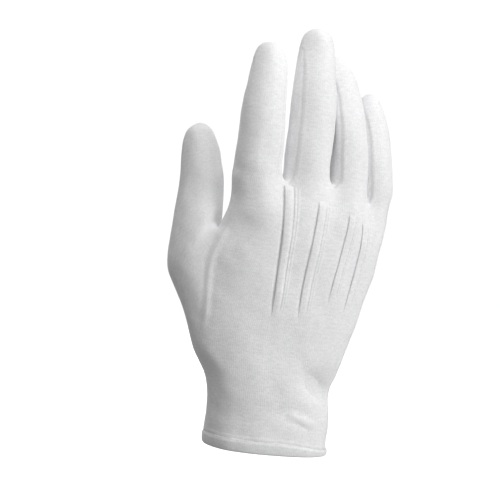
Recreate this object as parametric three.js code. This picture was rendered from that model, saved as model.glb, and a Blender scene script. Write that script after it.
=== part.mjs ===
// A white cotton parade glove for the right hand, filled out as it is when worn, fingers up.
// The sewn pieces are thin walls cut from one smooth skin: a cage of four-sided faces is laid
// through the sections of the palm, the fingers and the thumb, and is then subdivided.
// X runs across the hand towards the little finger, Y from the back of the hand to the palm,
// and Z from the wrist opening up to the fingertips. The origin is the middle of that opening.

import * as THREE from "three";

// Driving dimensions, in millimetres
const PALM_HEIGHT = 150; // from the wrist edge to the forks between the fingers
const KNUCKLE_WIDTH = 99;
const HAND_DEPTH = 33; // from the back to the palm, through the middle of the hand
const WRIST_WIDTH = 70;
const WRIST_DEPTH = 44;
const FINGER_LENGTH = 86.5; // the middle finger, from its fork to its tip
const FINGER_WIDTH = 26;
const FINGER_DEPTH = 25;
const FORK_LIFT = 1.6; // how much higher a fork is in its middle than at its ends
const THUMB_LENGTH = 84; // from its root, in the opening's middle, up to its tip
const THUMB_WIDTH = 29;
const THUMB_DEPTH = 26;
const CLOTH = 1.2; // the wall of knitted cotton
const SEAM_GAP = 0.3; // between two pieces that are sewn together
const HEM_HEIGHT = 7;
const HEM_DRAW = 0.98; // how far its lower edge is drawn in where it is HEM_HEIGHT high
const HEM_LOW_SIDE = 0.55; // its height on the little finger's side, a share of HEM_HEIGHT
const HEM_THICKNESS = 2.4; // the cloth turned up on itself
const POINT_WIDTH = 2.6; // a raised tuck on the back of the hand
const POINT_HEIGHT = 1.4;
const POINT_LENGTH = 68;

// Sections of the palm. at: height, a share of PALM_HEIGHT. wrist: 1 where the width and depth
// are the wrist's, and 0, if it isn't given, where they are the hand's. left and right: the
// thumb's and the little finger's side, shares of that width. back and front: shares of that
// depth. set and drop: how far those two sides lie towards the palm, shares of HAND_DEPTH.
// thumb: from the foot to the top of its opening. pinch: how far the first column is drawn out
// to the thumb's side, where that opening comes to a point. valley: how far the cloth dips
// between two fingers, a share of back and front.
const WRIST_SECTION = { wrist: 1, left: -0.517, right: 0.507, back: 0.5, front: 0.5 };
const PALM_SECTIONS = [
  { at: 0.075, wrist: 1, left: -0.521, right: 0.504, back: 0.49, front: 0.49 },
  { at: 0.13, wrist: 1, left: -0.525, right: 0.5, back: 0.48, front: 0.48 },
  { at: 0.22, wrist: 1, left: -0.543, right: 0.489, back: 0.47, front: 0.47, set: 0.06 },
  { at: 0.3, wrist: 0.6, left: -0.532, right: 0.457, back: 0.54, front: 0.48, set: 0.14, drop: 0.03 },
  {
    at: 0.385,
    left: -0.505,
    right: 0.407,
    back: 0.64,
    front: 0.54,
    set: 0.2,
    drop: 0.05,
    thumb: true,
    pinch: 0.5,
  },
  { at: 0.5, left: -0.542, right: 0.451, back: 0.65, front: 0.5, set: 0.24, drop: 0.07, thumb: true },
  {
    at: 0.61,
    left: -0.542,
    right: 0.492,
    back: 0.635,
    front: 0.46,
    set: 0.22,
    drop: 0.09,
    thumb: true,
    pinch: 0.2,
  },
  {
    at: 0.71,
    left: -0.51,
    right: 0.529,
    back: 0.61,
    front: 0.43,
    set: 0.16,
    drop: 0.11,
    thumb: true,
    pinch: 0.55,
  },
  {
    at: 0.81,
    left: -0.441,
    right: 0.541,
    back: 0.565,
    front: 0.41,
    set: 0.09,
    drop: 0.12,
    thumb: true,
    pinch: 0.75,
  },
  {
    at: 0.905,
    left: -0.412,
    right: 0.569,
    back: 0.51,
    front: 0.405,
    set: 0.03,
    drop: 0.13,
    pinch: 0.3,
    valley: 0.1,
  },
  { at: 1, left: -0.419, right: 0.572, back: 0.43, front: 0.38, drop: 0.15, valley: 0.32 },
];
const SECTION_ROUNDNESS = 2.4; // 2 is an ellipse, more is squarer

// Columns across the hand. across: -1 at the thumb's side and 1 at the little finger's.
// rise: how much higher the column ends than PALM_HEIGHT, a share of it. Every second one,
// from the third, runs up to a fork.
const COLUMNS = [
  { across: -0.87, rise: -0.005 },
  { across: -0.64, rise: 0 },
  { across: -0.38, rise: 0 },
  { across: -0.1, rise: 0.008 },
  { across: 0.19, rise: 0.01 },
  { across: 0.44, rise: 0 },
  { across: 0.66, rise: -0.028 },
  { across: 0.82, rise: -0.045 },
  { across: 0.93, rise: -0.055 },
];

// The fingers. long, wide and deep: shares of the middle finger's. lean: towards the little
// finger, and turn: of the finger's back that way, both at the root and at the tip. bends: at
// the root, the middle and the end joint, towards the palm. All in degrees.
const FINGERS = [
  { name: "index", long: 0.895, wide: 0.95, deep: 0.96, lean: [-3, 4], turn: [-6, -6], bends: [2, 6, 5] },
  { name: "middle", long: 1, wide: 1, deep: 1, lean: [-1, -1], turn: [-2, -2], bends: [2, 6, 5] },
  { name: "ring", long: 0.925, wide: 0.92, deep: 0.94, lean: [-5, -9], turn: [8, 22], bends: [5, 18, 12] },
  { name: "little", long: 0.76, wide: 0.72, deep: 0.76, lean: [-5, -5], turn: [8, 8], bends: [7, 16, 10] },
];
// How far a finger's sides are flattened by the finger next to it, shares of its half width.
const PRESSED = { index: [0, 0], middle: [0, 0.06], ring: [0.21, 0.09], little: [0.22, 0] };
const JOINTS = [0, 0.42, 0.72]; // where a finger bends, shares of its length
const JOINT_REACH = 0.12; // a bend is spread this far to either side of its joint
const WALK_STEPS = 12; // from ring to ring up a finger's centre line

// Rings along a finger up to where its tip begins to round. at: share of that length.
// girth: share of the finger's width and depth. side: half the angle that the strip between
// two fingers takes, in degrees.
const FINGER_RINGS = [
  { at: 0.1, girth: 1.03, side: 43 },
  { at: 0.26, girth: 1.025, side: 42 },
  { at: 0.45, girth: 1, side: 41 },
  { at: 0.64, girth: 0.95, side: 39 },
  { at: 0.81, girth: 0.885, side: 34 },
  { at: 0.95, girth: 0.81, side: 23 },
];
const TIP_RING = { back: 0.36, girth: 0.77 }; // shares of the tip's radius
const STRIP_POINT = [0.5, 0.15]; // how far the last two rings rise where the strip ends in a point

// Rings along the thumb. x, y and z: from its root, shares of THUMB_LENGTH. tilt: of the ring's
// long way above level, in degrees. wide and deep: half sizes, shares of THUMB_WIDTH and
// THUMB_DEPTH. The root's own x, y and z are shares of KNUCKLE_WIDTH, HAND_DEPTH and PALM_HEIGHT.
const THUMB_ROOT = { x: -0.465, y: 0.21, z: 0.62 };
const THUMB_RINGS = [
  { x: -0.045, y: 0.068, z: 0.1, tilt: 71, wide: 0.82, deep: 0.58 },
  { x: -0.076, y: 0.107, z: 0.226, tilt: 56, wide: 0.75, deep: 0.54 },
  { x: -0.078, y: 0.143, z: 0.375, tilt: 45, wide: 0.62, deep: 0.5 },
  { x: -0.068, y: 0.179, z: 0.542, tilt: 34, wide: 0.505, deep: 0.48 },
  { x: -0.074, y: 0.202, z: 0.696, tilt: 25, wide: 0.415, deep: 0.44 },
  { x: -0.088, y: 0.226, z: 0.833, tilt: 16, wide: 0.36, deep: 0.385 },
  { x: -0.11, y: 0.238, z: 0.94, tilt: 13, wide: 0.31, deep: 0.3 },
];
const THUMB_TIP = { x: -0.112, y: 0.244, z: 1 };
const THUMB_FACING = -25; // the way from the thumb to the index finger, in degrees from X

// The raised points on the back. top: share of PALM_HEIGHT. from, mid and to: where each is
// across the hand at its top, its middle and its foot, shares of KNUCKLE_WIDTH. long: share of
// POINT_LENGTH. Each tapers at both ends, over a share of its length, to a share of its size.
const POINTS = [
  { top: 0.97, from: -0.107, mid: -0.107, to: -0.109, long: 1 },
  { top: 0.945, from: 0.093, mid: 0.067, to: 0.047, long: 0.95 },
  { top: 0.915, from: 0.287, mid: 0.252, to: 0.216, long: 0.77 },
  { top: 0.89, from: 0.383, mid: 0.37, to: 0.318, long: 0.79 },
];

const POINT_TAPER = { over: 0.2, to: 0.35 };
const POINT_STEPS = 16;

// A raised point's cross-section, shares of POINT_WIDTH and POINT_HEIGHT.
const POINT_ARCH = [
  { across: -0.5, up: 0 },
  { across: -0.46, up: 0.55 },
  { across: -0.24, up: 0.93 },
  { across: 0, up: 1 },
  { across: 0.24, up: 0.93 },
  { across: 0.46, up: 0.55 },
  { across: 0.5, up: 0 },
];

// Dents in the cloth. side: -1 on the back and 1 on the palm. across and at: its middle, shares
// of KNUCKLE_WIDTH and PALM_HEIGHT, and wide and tall: its reach from there, shares of the same.
// deep: a share of HAND_DEPTH.
const DENTS = [
  { side: -1, across: 0.24, at: 0.26, wide: 0.13, tall: 0.07, deep: 0.12 },
  { side: -1, across: 0.1, at: 0.16, wide: 0.14, tall: 0.04, deep: 0.05 },
  { side: -1, across: -0.27, at: 0.14, wide: 0.13, tall: 0.05, deep: 0.06 },
  { side: 1, across: 0.12, at: 0.24, wide: 0.18, tall: 0.05, deep: 0.08 },
  { side: 1, across: -0.07, at: 0.88, wide: 0.3, tall: 0.04, deep: 0.06 },
  { side: 1, across: 0.03, at: 0.6, wide: 0.18, tall: 0.12, deep: 0.09 },
];
const DENT_WRAP = 0.3; // how far a dent reaches round the edge of its side

const HEM_SWELL = 0.65; // how much more of its thickness the hem has outside at half its height
const SHARPEST_CORNER = 0.5; // cosine of half the sharpest turn that a border's corner is moved for
const FIT_ROUNDS = 5; // of moving the cage until the smooth skin passes through the sections

const WHITE_COTTON = { color: 0xe9e9ea, roughness: 0.92, metalness: 0 };

// Places on a palm ring: the back's columns count up, and the palm's count down.
const LAST_COLUMN = COLUMNS.length - 1;
const LITTLE_SIDE = LAST_COLUMN + 1;
const onPalm = (column) => LITTLE_SIDE + 1 + LAST_COLUMN - column;
const THUMB_SIDE = onPalm(0) + 1;
const isFork = (column) => column % 2 === 0 && column > 0 && column < LAST_COLUMN;

const rad = THREE.MathUtils.degToRad;
const vec = (x, y, z) => new THREE.Vector3(x, y, z);
const between = ([low, high], share) => low + (high - low) * share;

// A four-sided mesh: its points, and its faces with the sewn piece that each belongs to.
class Skin {
  points = [];
  faces = [];

  ring(points) {
    return points.map((p) => this.points.push(p) - 1);
  }

  // A face that belongs to no piece is an opening.
  face(corners, piece) {
    if (piece) this.faces.push({ corners, piece });
  }

  // Faces between two rings of equal length, pieces[i] naming the one after point i.
  band(low, high, pieces) {
    low.forEach((_, i) => {
      const next = (i + 1) % low.length;
      this.face([low[i], low[next], high[next], high[i]], pieces[i]);
    });
  }

  // Faces from a ring to the pole in its middle, each taking three of the ring's points.
  cap(ring, pole, pieces) {
    const [top] = this.ring([pole]);
    const n = ring.length;
    for (let i = 0; i < n; i += 2)
      this.face([ring[(i + n - 1) % n], ring[i], ring[(i + 1) % n], top], pieces[i / 2]);
  }
}

const edgeKey = (a, b) => Math.min(a, b) + "," + Math.max(a, b);

// A skin's edges, each with its two ends and the faces on it.
function edgesOf(skin) {
  const edges = new Map();
  skin.faces.forEach(({ corners }, f) =>
    corners.forEach((a, i) => {
      const b = corners[(i + 1) % 4];
      const key = edgeKey(a, b);
      if (!edges.has(key)) edges.set(key, { ends: [a, b], faces: [] });
      edges.get(key).faces.push(f);
    }),
  );
  return edges;
}

// Each point's neighbours along edges, the points across its faces, its faces, and its edge
// neighbours along the open border, if it lies there.
function neighbours(skin) {
  const near = skin.points.map(() => ({ edges: [], across: [], faces: [], border: [] }));
  skin.faces.forEach(({ corners }, f) =>
    corners.forEach((a, i) => {
      near[a].across.push(corners[(i + 2) % 4]);
      near[a].faces.push(f);
    }),
  );
  for (const { ends, faces } of edgesOf(skin).values())
    ends.forEach((a, i) => {
      near[a].edges.push(ends[1 - i]);
      if (faces.length === 1) near[a].border.push(ends[1 - i]);
    });
  return near;
}

const sumOf = (points, picked) => picked.reduce((sum, i) => sum.add(points[i]), vec(0, 0, 0));
const middleOf = (points, picked) => sumOf(points, picked).divideScalar(picked.length);

// Where each point ends up when the skin is subdivided for ever (Catmull and Clark's rule).
function limitPoints(skin) {
  return neighbours(skin).map(({ edges, across, border }, i) => {
    const p = skin.points[i];
    if (border.length) return p.clone().multiplyScalar(4).add(sumOf(skin.points, border)).divideScalar(6);
    const n = edges.length;
    return p
      .clone()
      .multiplyScalar(n * n)
      .addScaledVector(sumOf(skin.points, edges), 4)
      .add(sumOf(skin.points, across))
      .divideScalar(n * (n + 5));
  });
}

// Moves the cage's points so that the smooth skin passes through where they are now.
function passThrough(skin, rounds) {
  const wanted = skin.points.map((p) => p.clone());
  for (let round = 0; round < rounds; round++) {
    const limits = limitPoints(skin);
    skin.points.forEach((p, i) => p.add(wanted[i]).sub(limits[i]));
  }
}

// One step of Catmull and Clark's subdivision: each face becomes four of the same piece.
function subdivide(skin) {
  const finer = new Skin();
  const facePoints = skin.faces.map(({ corners }) => middleOf(skin.points, corners));
  const moved = neighbours(skin).map(({ edges, faces, border }, i) => {
    const p = skin.points[i].clone();
    if (border.length) return p.multiplyScalar(6).add(sumOf(skin.points, border)).divideScalar(8);
    const n = edges.length;
    p.multiplyScalar(n - 2).add(middleOf(facePoints, faces)).add(middleOf(skin.points, edges));
    return p.divideScalar(n);
  });
  finer.ring(moved);
  const onFace = finer.ring(facePoints);
  const onEdge = new Map();
  for (const [key, { ends, faces }] of edgesOf(skin)) {
    const point = middleOf(skin.points, ends);
    if (faces.length === 2) point.lerp(middleOf(facePoints, faces), 0.5);
    onEdge.set(key, finer.ring([point])[0]);
  }
  skin.faces.forEach(({ corners, piece }, f) =>
    corners.forEach((a, i) => {
      const [next, last] = [corners[(i + 1) % 4], corners[(i + 3) % 4]];
      finer.face([a, onEdge.get(edgeKey(a, next)), onFace[f], onEdge.get(edgeKey(last, a))], piece);
    }),
  );
  return finer;
}

// A section's middle, half width, depths and side levels, in millimetres.
function sectionSizes({ wrist = 0, left, right, back, front, set = 0, drop = 0 }) {
  const width = between([KNUCKLE_WIDTH, WRIST_WIDTH], wrist);
  const depth = between([HAND_DEPTH, WRIST_DEPTH], wrist);
  return {
    middle: ((left + right) / 2) * width,
    half: ((right - left) / 2) * width,
    back: back * depth,
    front: front * depth,
    levels: [set * HAND_DEPTH, drop * HAND_DEPTH],
  };
}

// A point of a section. side: -1 on the back, 1 on the palm and 0 between them.
function sectionPoint(row, z, across, side) {
  const { middle, half, back, front, levels } = sectionSizes(row);
  const fullness = Math.max(0, 1 - Math.abs(across) ** SECTION_ROUNDNESS) ** (1 / SECTION_ROUNDNESS);
  const level = between(levels, (across + 1) / 2);
  const reach = side < 0 ? -back : side * front;
  return vec(middle + half * across, level + reach * fullness, z);
}

// One ring of the palm, from the thumb's side over the back to the little finger's side, and
// back along the palm. The columns fan out to their own heights towards the fingers.
function palmRing(row, height) {
  const { valley = 0, pinch = 0 } = row;
  const z = (rise) => height * (1 + rise * (height / PALM_HEIGHT) ** 2);
  const line = (side) =>
    COLUMNS.map(({ across: usual, rise }, column) => {
      const across = column ? usual : usual - (1 + usual) * pinch;
      const p = sectionPoint(row, z(rise), across, side);
      if (isFork(column)) p.lerp(sectionPoint(row, z(rise), across, 0), valley);
      return p;
    });
  return [
    ...line(-1),
    sectionPoint(row, z(COLUMNS[LAST_COLUMN].rise), 1, 0),
    ...line(1).reverse(),
    sectionPoint(row, z(COLUMNS[0].rise), -1, 0),
  ];
}

// The piece that each stretch of a palm ring belongs to: the back is folded round the thumb's
// side, and meets the palm in a seam down the little finger's side.
function palmPieces(besideThumb) {
  const pieces = [];
  for (let i = 0; i <= THUMB_SIDE; i++)
    pieces.push(i >= LITTLE_SIDE && i < onPalm(0) ? "palm_panel" : "back_panel");
  if (besideThumb) pieces[onPalm(0)] = pieces[THUMB_SIDE] = null;
  return pieces;
}

// The hem is turned up less towards the little finger's side.
function hemHeight(x) {
  const across = THREE.MathUtils.smoothstep(x, 0, WRIST_WIDTH / 2);
  return HEM_HEIGHT * between([1, HEM_LOW_SIDE], across);
}

function buildPalm(skin) {
  const hem = [0, 0.5, 1].map((share) => {
    const points = palmRing(WRIST_SECTION, 0).map((p) => {
      const height = hemHeight(p.x);
      const drawn = (1 - HEM_DRAW) * (height / HEM_HEIGHT) * (1 - share) ** 2;
      return vec(p.x * (1 - drawn), p.y * (1 - drawn), share * height);
    });
    return skin.ring(points);
  });
  const rows = PALM_SECTIONS.map((row) => skin.ring(palmRing(row, row.at * PALM_HEIGHT)));
  hem.slice(1).forEach((ring, i) => skin.band(hem[i], ring, ring.map(() => "wrist_hem")));
  skin.band(hem.at(-1), rows[0], palmPieces(false));
  rows.slice(1).forEach((ring, i) => {
    const besideThumb = PALM_SECTIONS[i].thumb && PALM_SECTIONS[i + 1].thumb;
    skin.band(rows[i], ring, palmPieces(besideThumb));
  });
  return rows;
}

// The way a finger's centre line runs at a share of its length: up, bent towards the palm.
function fingerDirection(finger, share) {
  const bend = finger.bends.reduce((sum, angle, i) => {
    const reached = i === 0 ? 1 : (share - JOINTS[i]) / JOINT_REACH / 2 + 0.5;
    return sum + angle * THREE.MathUtils.clamp(reached, 0, 1);
  }, 0);
  return vec(0, 0, 1)
    .applyAxisAngle(vec(1, 0, 0), -rad(bend))
    .applyAxisAngle(vec(0, 1, 0), rad(between(finger.lean, share)));
}

// A ring of eight points round a finger, from the corner of its back on the thumb's side.
function fingerRing(centre, along, turn, wide, deep, side, pressed) {
  const across = vec(Math.cos(turn), Math.sin(turn), 0);
  across.addScaledVector(along, -across.dot(along)).normalize();
  const front = along.clone().cross(across);
  const corner = rad(side);
  const angles = [Math.PI + corner, -Math.PI / 2, -corner, 0, corner, Math.PI / 2, Math.PI - corner, Math.PI];
  const kept = { 3: 1 - pressed[1], 7: 1 - pressed[0] };
  return angles.map((a, i) =>
    centre
      .clone()
      .addScaledVector(across, Math.cos(a) * wide * (kept[i] ?? 1))
      .addScaledVector(front, Math.sin(a) * deep),
  );
}

// The pieces round a finger, the strips on its two sides included. At its tip the back and the
// palm meet, and the index's back is folded round its thumb side.
function fingerPieces(i, isTip) {
  const strip = (a, b) => a && b && !isTip && `fourchette_${a.name}_${b.name}`;
  const before = strip(FINGERS[i - 1], FINGERS[i]);
  const after = strip(FINGERS[i], FINGERS[i + 1]);
  const folded = i === 0 && !isTip;
  return [
    "back_panel",
    "back_panel",
    after || "back_panel",
    after || "palm_panel",
    "palm_panel",
    "palm_panel",
    before || (folded ? "back_panel" : "palm_panel"),
    before || "back_panel",
  ];
}

// A finger's rings of points and the end of its tip, walking up its centre line from the root.
function fingerRings(finger, root) {
  const length = finger.long * FINGER_LENGTH;
  const [wide, deep] = [(finger.wide * FINGER_WIDTH) / 2, (finger.deep * FINGER_DEPTH) / 2];
  const lastRing = FINGER_RINGS.at(-1);
  const tipRadius = lastRing.girth * wide;
  const rings = FINGER_RINGS.map((r) => ({ ...r, reach: r.at * (length - tipRadius) }));
  rings.push({
    side: lastRing.side,
    girth: lastRing.girth * TIP_RING.girth,
    reach: length - TIP_RING.back * tipRadius,
  });
  const centre = root.clone();
  let done = 0;
  const walk = (reach) => {
    const step = (reach - done) / WALK_STEPS;
    for (let k = 0; k < WALK_STEPS; k++)
      centre.addScaledVector(fingerDirection(finger, (done + (k + 0.5) * step) / length), step);
    done = reach;
  };
  const points = rings.map(({ reach, girth, side }) => {
    walk(reach);
    const along = fingerDirection(finger, reach / length);
    const turn = rad(between(finger.turn, reach / length));
    return fingerRing(centre, along, turn, wide * girth, deep * girth, side, PRESSED[finger.name]);
  });
  walk(length);
  for (const side of [3, 7]) {
    points.at(-2)[side].lerp(points.at(-1)[side], STRIP_POINT[0]);
    points.at(-1)[side].lerp(centre, STRIP_POINT[1]);
  }
  return { points, tip: centre };
}

// A finger on the top ring of the palm, between two forks.
function buildFinger(skin, i, top, forks) {
  const [left, middle, right] = [2 * i, 2 * i + 1, 2 * i + 2];
  const ends = [forks[i], forks[i + 1]];
  const back = [top[left], top[middle], top[right]];
  const front = [right, middle, left].map((column) => top[onPalm(column)]);
  const { points, tip } = fingerRings(FINGERS[i], middleOf(skin.points, ends));
  let last = [...back, ends[1], ...front, ends[0]];
  points.forEach((ringPoints, k) => {
    const ring = skin.ring(ringPoints);
    skin.band(last, ring, fingerPieces(i, k === points.length - 1));
    last = ring;
  });
  skin.cap(last, tip, ["back_panel", "back_panel", "palm_panel", "palm_panel"]);
}

// The thumb: rings that turn from its upright opening in the palm's side to level at its tip.
// Each counts from the fork with the index finger over the back of the thumb.
function buildThumb(skin, rows) {
  const open = rows.filter((_, i) => PALM_SECTIONS[i].thumb);
  const downPalm = open.map((ring) => ring[onPalm(0)]).reverse();
  const upBack = open.map((ring) => ring[0]);
  let last = [open.at(-1)[THUMB_SIDE], ...downPalm, open[0][THUMB_SIDE], ...upBack];
  const root = vec(THUMB_ROOT.x * KNUCKLE_WIDTH, THUMB_ROOT.y * HAND_DEPTH, THUMB_ROOT.z * PALM_HEIGHT);
  const place = ({ x, y, z }) => vec(x, y, z).multiplyScalar(THUMB_LENGTH).add(root);
  const centres = [...THUMB_RINGS.map(place), place(THUMB_TIP)];
  const pieces = last.map(() => "thumb");
  THUMB_RINGS.forEach(({ tilt, wide, deep }, k) => {
    const long = vec(1, 0, 0)
      .applyAxisAngle(vec(0, 1, 0), -rad(tilt))
      .applyAxisAngle(vec(0, 0, 1), rad(THUMB_FACING));
    const along = centres[k + 1].clone().sub(centres[Math.max(k - 1, 0)]);
    const flat = along.cross(long).normalize();
    const ringPoints = last.map((_, i) => {
      const angle = (i / last.length) * 2 * Math.PI;
      return centres[k]
        .clone()
        .addScaledVector(long, Math.cos(angle) * wide * THUMB_WIDTH)
        .addScaledVector(flat, Math.sin(angle) * deep * THUMB_DEPTH);
    });
    const ring = skin.ring(ringPoints);
    skin.band(last, ring, pieces);
    last = ring;
  });
  skin.cap(last, centres.at(-1), pieces);
}

// The whole skin's cage. The thumb's side, each fork and the little finger's side are the
// middles of the lines that the fingers' rings share.
function buildCage() {
  const skin = new Skin();
  const rows = buildPalm(skin);
  const top = rows.at(-1);
  const forks = [top[THUMB_SIDE]];
  COLUMNS.forEach((_, column) => {
    if (!isFork(column)) return;
    const middle = middleOf(skin.points, [top[column], top[onPalm(column)]]);
    middle.z += FORK_LIFT;
    forks.push(...skin.ring([middle]));
  });
  forks.push(top[LITTLE_SIDE]);
  FINGERS.forEach((_, i) => buildFinger(skin, i, top, forks));
  buildThumb(skin, rows);
  return skin;
}

// Normals of a skin's points, pointing out of the glove.
function normalsOf({ points, faces }) {
  const normals = points.map(() => vec(0, 0, 0));
  for (const { corners } of faces) {
    const [a, b, c, d] = corners.map((i) => points[i]);
    const normal = c.clone().sub(a).cross(d.clone().sub(b));
    corners.forEach((i) => normals[i].add(normal));
  }
  return normals.map((n) => n.normalize());
}

// Presses the dents into the skin's points above the hem, each on its own side of the hand.
function pressDents(skin) {
  const normals = normalsOf(skin);
  skin.points.forEach((p, i) => {
    if (p.z <= hemHeight(p.x)) return;
    for (const { side, across, at, wide, tall, deep } of DENTS) {
      const x = (p.x / KNUCKLE_WIDTH - across) / wide;
      const z = (p.z / PALM_HEIGHT - at) / tall;
      const facing = THREE.MathUtils.clamp(side * normals[i].y + DENT_WRAP, 0, 1);
      p.addScaledVector(normals[i], -deep * HAND_DEPTH * facing * Math.exp(-x * x - z * z));
    }
  });
}

// The edges of a group of faces that no other face of the group shares, each with its ends in
// the order in which its face runs round.
function bordersOf(faces) {
  const sides = faces.flatMap(({ corners }) => corners.map((a, i) => [a, corners[(i + 1) % 4]]));
  const seen = new Set(sides.map(([a, b]) => a + "," + b));
  return sides.filter(([a, b]) => !seen.has(b + "," + a));
}

// How far each point of a piece's border is drawn in, in the skin and square to the border, so
// that half of the seam's gap is left.
function seamMoves(points, normals, borders) {
  const inwards = new Map();
  for (const [a, b] of borders) {
    const inward = normals[a].clone().add(normals[b]).cross(points[b].clone().sub(points[a])).normalize();
    for (const end of [a, b]) inwards.set(end, [...(inwards.get(end) ?? []), inward]);
  }
  const moves = new Map();
  for (const [i, ways] of inwards) {
    const way = ways.reduce((sum, v) => sum.add(v), vec(0, 0, 0)).normalize();
    const slant = Math.max(SHARPEST_CORNER, way.dot(ways[0]));
    moves.set(i, way.multiplyScalar(SEAM_GAP / 2 / slant));
  }
  return moves;
}

function geometryFrom(positions, index) {
  const geometry = new THREE.BufferGeometry();
  geometry.setAttribute("position", new THREE.Float32BufferAttribute(positions, 3));
  geometry.setIndex(index);
  geometry.computeVertexNormals();
  return geometry;
}

// A closed wall on one piece of the skin. outer and inner give, for a point, how far the wall's
// two faces lie outside the skin. The two sides of a seam are split along the same diagonals.
function wall(skin, normals, piece, outer, inner) {
  const faces = skin.faces.filter((face) => face.piece === piece);
  const borders = bordersOf(faces);
  const moves = seamMoves(skin.points, normals, borders);
  const used = [...new Set(faces.flatMap(({ corners }) => corners))];
  const place = new Map(used.map((i, k) => [i, k]));
  const positions = [outer, inner].flatMap((offset) =>
    used.flatMap((i) => {
      const p = skin.points[i].clone().add(moves.get(i) ?? vec(0, 0, 0));
      return p.addScaledVector(normals[i], offset(skin.points[i])).toArray();
    }),
  );
  const n = used.length;
  const index = [];
  for (const { corners } of faces) {
    const [a, b, c, d] = corners.map((i) => place.get(i));
    index.push(a, b, c, a, c, d, n + a, n + c, n + b, n + a, n + d, n + c);
  }
  for (const [from, to] of borders) {
    const [p, q] = [place.get(from), place.get(to)];
    const rim = from < to ? [q, p, n + q, p, n + p, n + q] : [q, p, n + p, q, n + p, n + q];
    index.push(...rim);
  }
  return geometryFrom(positions, index);
}

// The hem is thicker than the cloth and swells in the middle of its height.
function hemOuter(p) {
  const level = THREE.MathUtils.clamp(p.z / hemHeight(p.x), 0, 1);
  return (HEM_THICKNESS - CLOTH) * (1 - HEM_SWELL + HEM_SWELL * Math.sin(Math.PI * level));
}

// A raised point: a narrow tuck with a rounded top that follows the cloth of the back.
function pointGeometry({ top, from, mid, to, long }, backMesh) {
  const ray = new THREE.Raycaster();
  const touch = (x, z) => {
    ray.set(vec(x, -2 * KNUCKLE_WIDTH, z), vec(0, 1, 0));
    return ray.intersectObject(backMesh)[0].point;
  };
  const line = [];
  for (let k = 0; k <= POINT_STEPS; k++) {
    const share = k / POINT_STEPS;
    const across = share < 0.5 ? between([from, mid], 2 * share) : between([mid, to], 2 * share - 1);
    line.push({ share, x: across * KNUCKLE_WIDTH, z: top * PALM_HEIGHT - share * long * POINT_LENGTH });
  }
  const positions = line.flatMap(({ share, x, z }, k) => {
    const nearEnd = Math.min(1, Math.min(share, 1 - share) / POINT_TAPER.over);
    const size = between([POINT_TAPER.to, 1], nearEnd);
    const [before, after] = [line[Math.max(k - 1, 0)], line[Math.min(k + 1, POINT_STEPS)]];
    const along = touch(after.x, after.z).sub(touch(before.x, before.z));
    const width = size * POINT_WIDTH;
    const across = touch(x + width / 2, z).sub(touch(x - width / 2, z));
    const out = along.cross(across).normalize();
    return POINT_ARCH.flatMap((arch) => {
      const spot = touch(x + arch.across * width, z);
      return spot.addScaledVector(out, SEAM_GAP + arch.up * size * POINT_HEIGHT).toArray();
    });
  });
  const n = POINT_ARCH.length;
  const end = POINT_STEPS * n;
  const index = [];
  for (let i = 0; i < n; i++)
    for (let a = i, b = (i + 1) % n; a < end; a += n, b += n) index.push(a, b + n, b, a, a + n, b + n);
  for (let i = 1; i < n - 1; i++) index.push(0, i, i + 1, end, end + i + 1, end + i);
  return geometryFrom(positions, index);
}

function buildGlove() {
  const cage = buildCage();
  passThrough(cage, FIT_ROUNDS);
  const skin = subdivide(cage);
  skin.points = limitPoints(skin);
  pressDents(skin);
  const normals = normalsOf(skin);

  const glove = new THREE.Group();
  const add = (name, geometry) => {
    const mesh = new THREE.Mesh(geometry, new THREE.MeshStandardMaterial(WHITE_COTTON));
    mesh.name = name;
    glove.add(mesh);
    return mesh;
  };
  const sewn = new Set(skin.faces.map(({ piece }) => piece));
  sewn.delete("wrist_hem");
  for (const piece of sewn) add(piece, wall(skin, normals, piece, () => 0, () => -CLOTH));
  add("wrist_hem", wall(skin, normals, "wrist_hem", hemOuter, (p) => hemOuter(p) - HEM_THICKNESS));
  const back = glove.getObjectByName("back_panel");
  POINTS.forEach((point, i) => add(`back_point_${i + 1}`, pointGeometry(point, back)));
  return glove;
}

export default buildGlove();
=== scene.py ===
"""A white cotton parade glove for the right hand, in the full form it has when worn, fingers up.

One smooth skin is laid through the glove's sections, and each sewn piece is cut from it as a closed
wall of fine knit with its seams, dents and tucks. Lengths are millimetres until a mesh is made. X runs
across the hand to the little finger, Y from its back to its palm and Z up to the fingertips.
"""

import math

import bpy
import numpy as np
from mathutils import Matrix, Vector


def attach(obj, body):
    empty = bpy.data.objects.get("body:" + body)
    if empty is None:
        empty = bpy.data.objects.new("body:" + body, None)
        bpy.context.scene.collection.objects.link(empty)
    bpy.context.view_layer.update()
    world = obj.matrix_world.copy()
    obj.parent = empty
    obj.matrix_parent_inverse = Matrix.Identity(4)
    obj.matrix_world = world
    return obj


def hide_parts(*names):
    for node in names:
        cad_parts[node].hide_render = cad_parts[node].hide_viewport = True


MM = 0.001

# Sizes of the glove, the same as its solids have
PALM_HEIGHT = 150
KNUCKLE_WIDTH = 99
HAND_DEPTH = 33
WRIST_WIDTH = 70
WRIST_DEPTH = 44
FINGER_LENGTH = 86.5
FINGER_WIDTH = 26
FINGER_DEPTH = 25
FORK_LIFT = 1.6
THUMB_LENGTH = 84
THUMB_WIDTH = 29
THUMB_DEPTH = 26
CLOTH = 1.2
SEAM_GAP = 0.006  # the sewn pieces all but touch
HEM_HEIGHT = 7
HEM_DRAW = 0.98
HEM_LOW_SIDE = 0.55
HEM_THICKNESS = 2.4
HEM_STITCH_LEVEL = 0.76  # a share of the hem's height
SECTION_ROUNDNESS = 2.4

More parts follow.
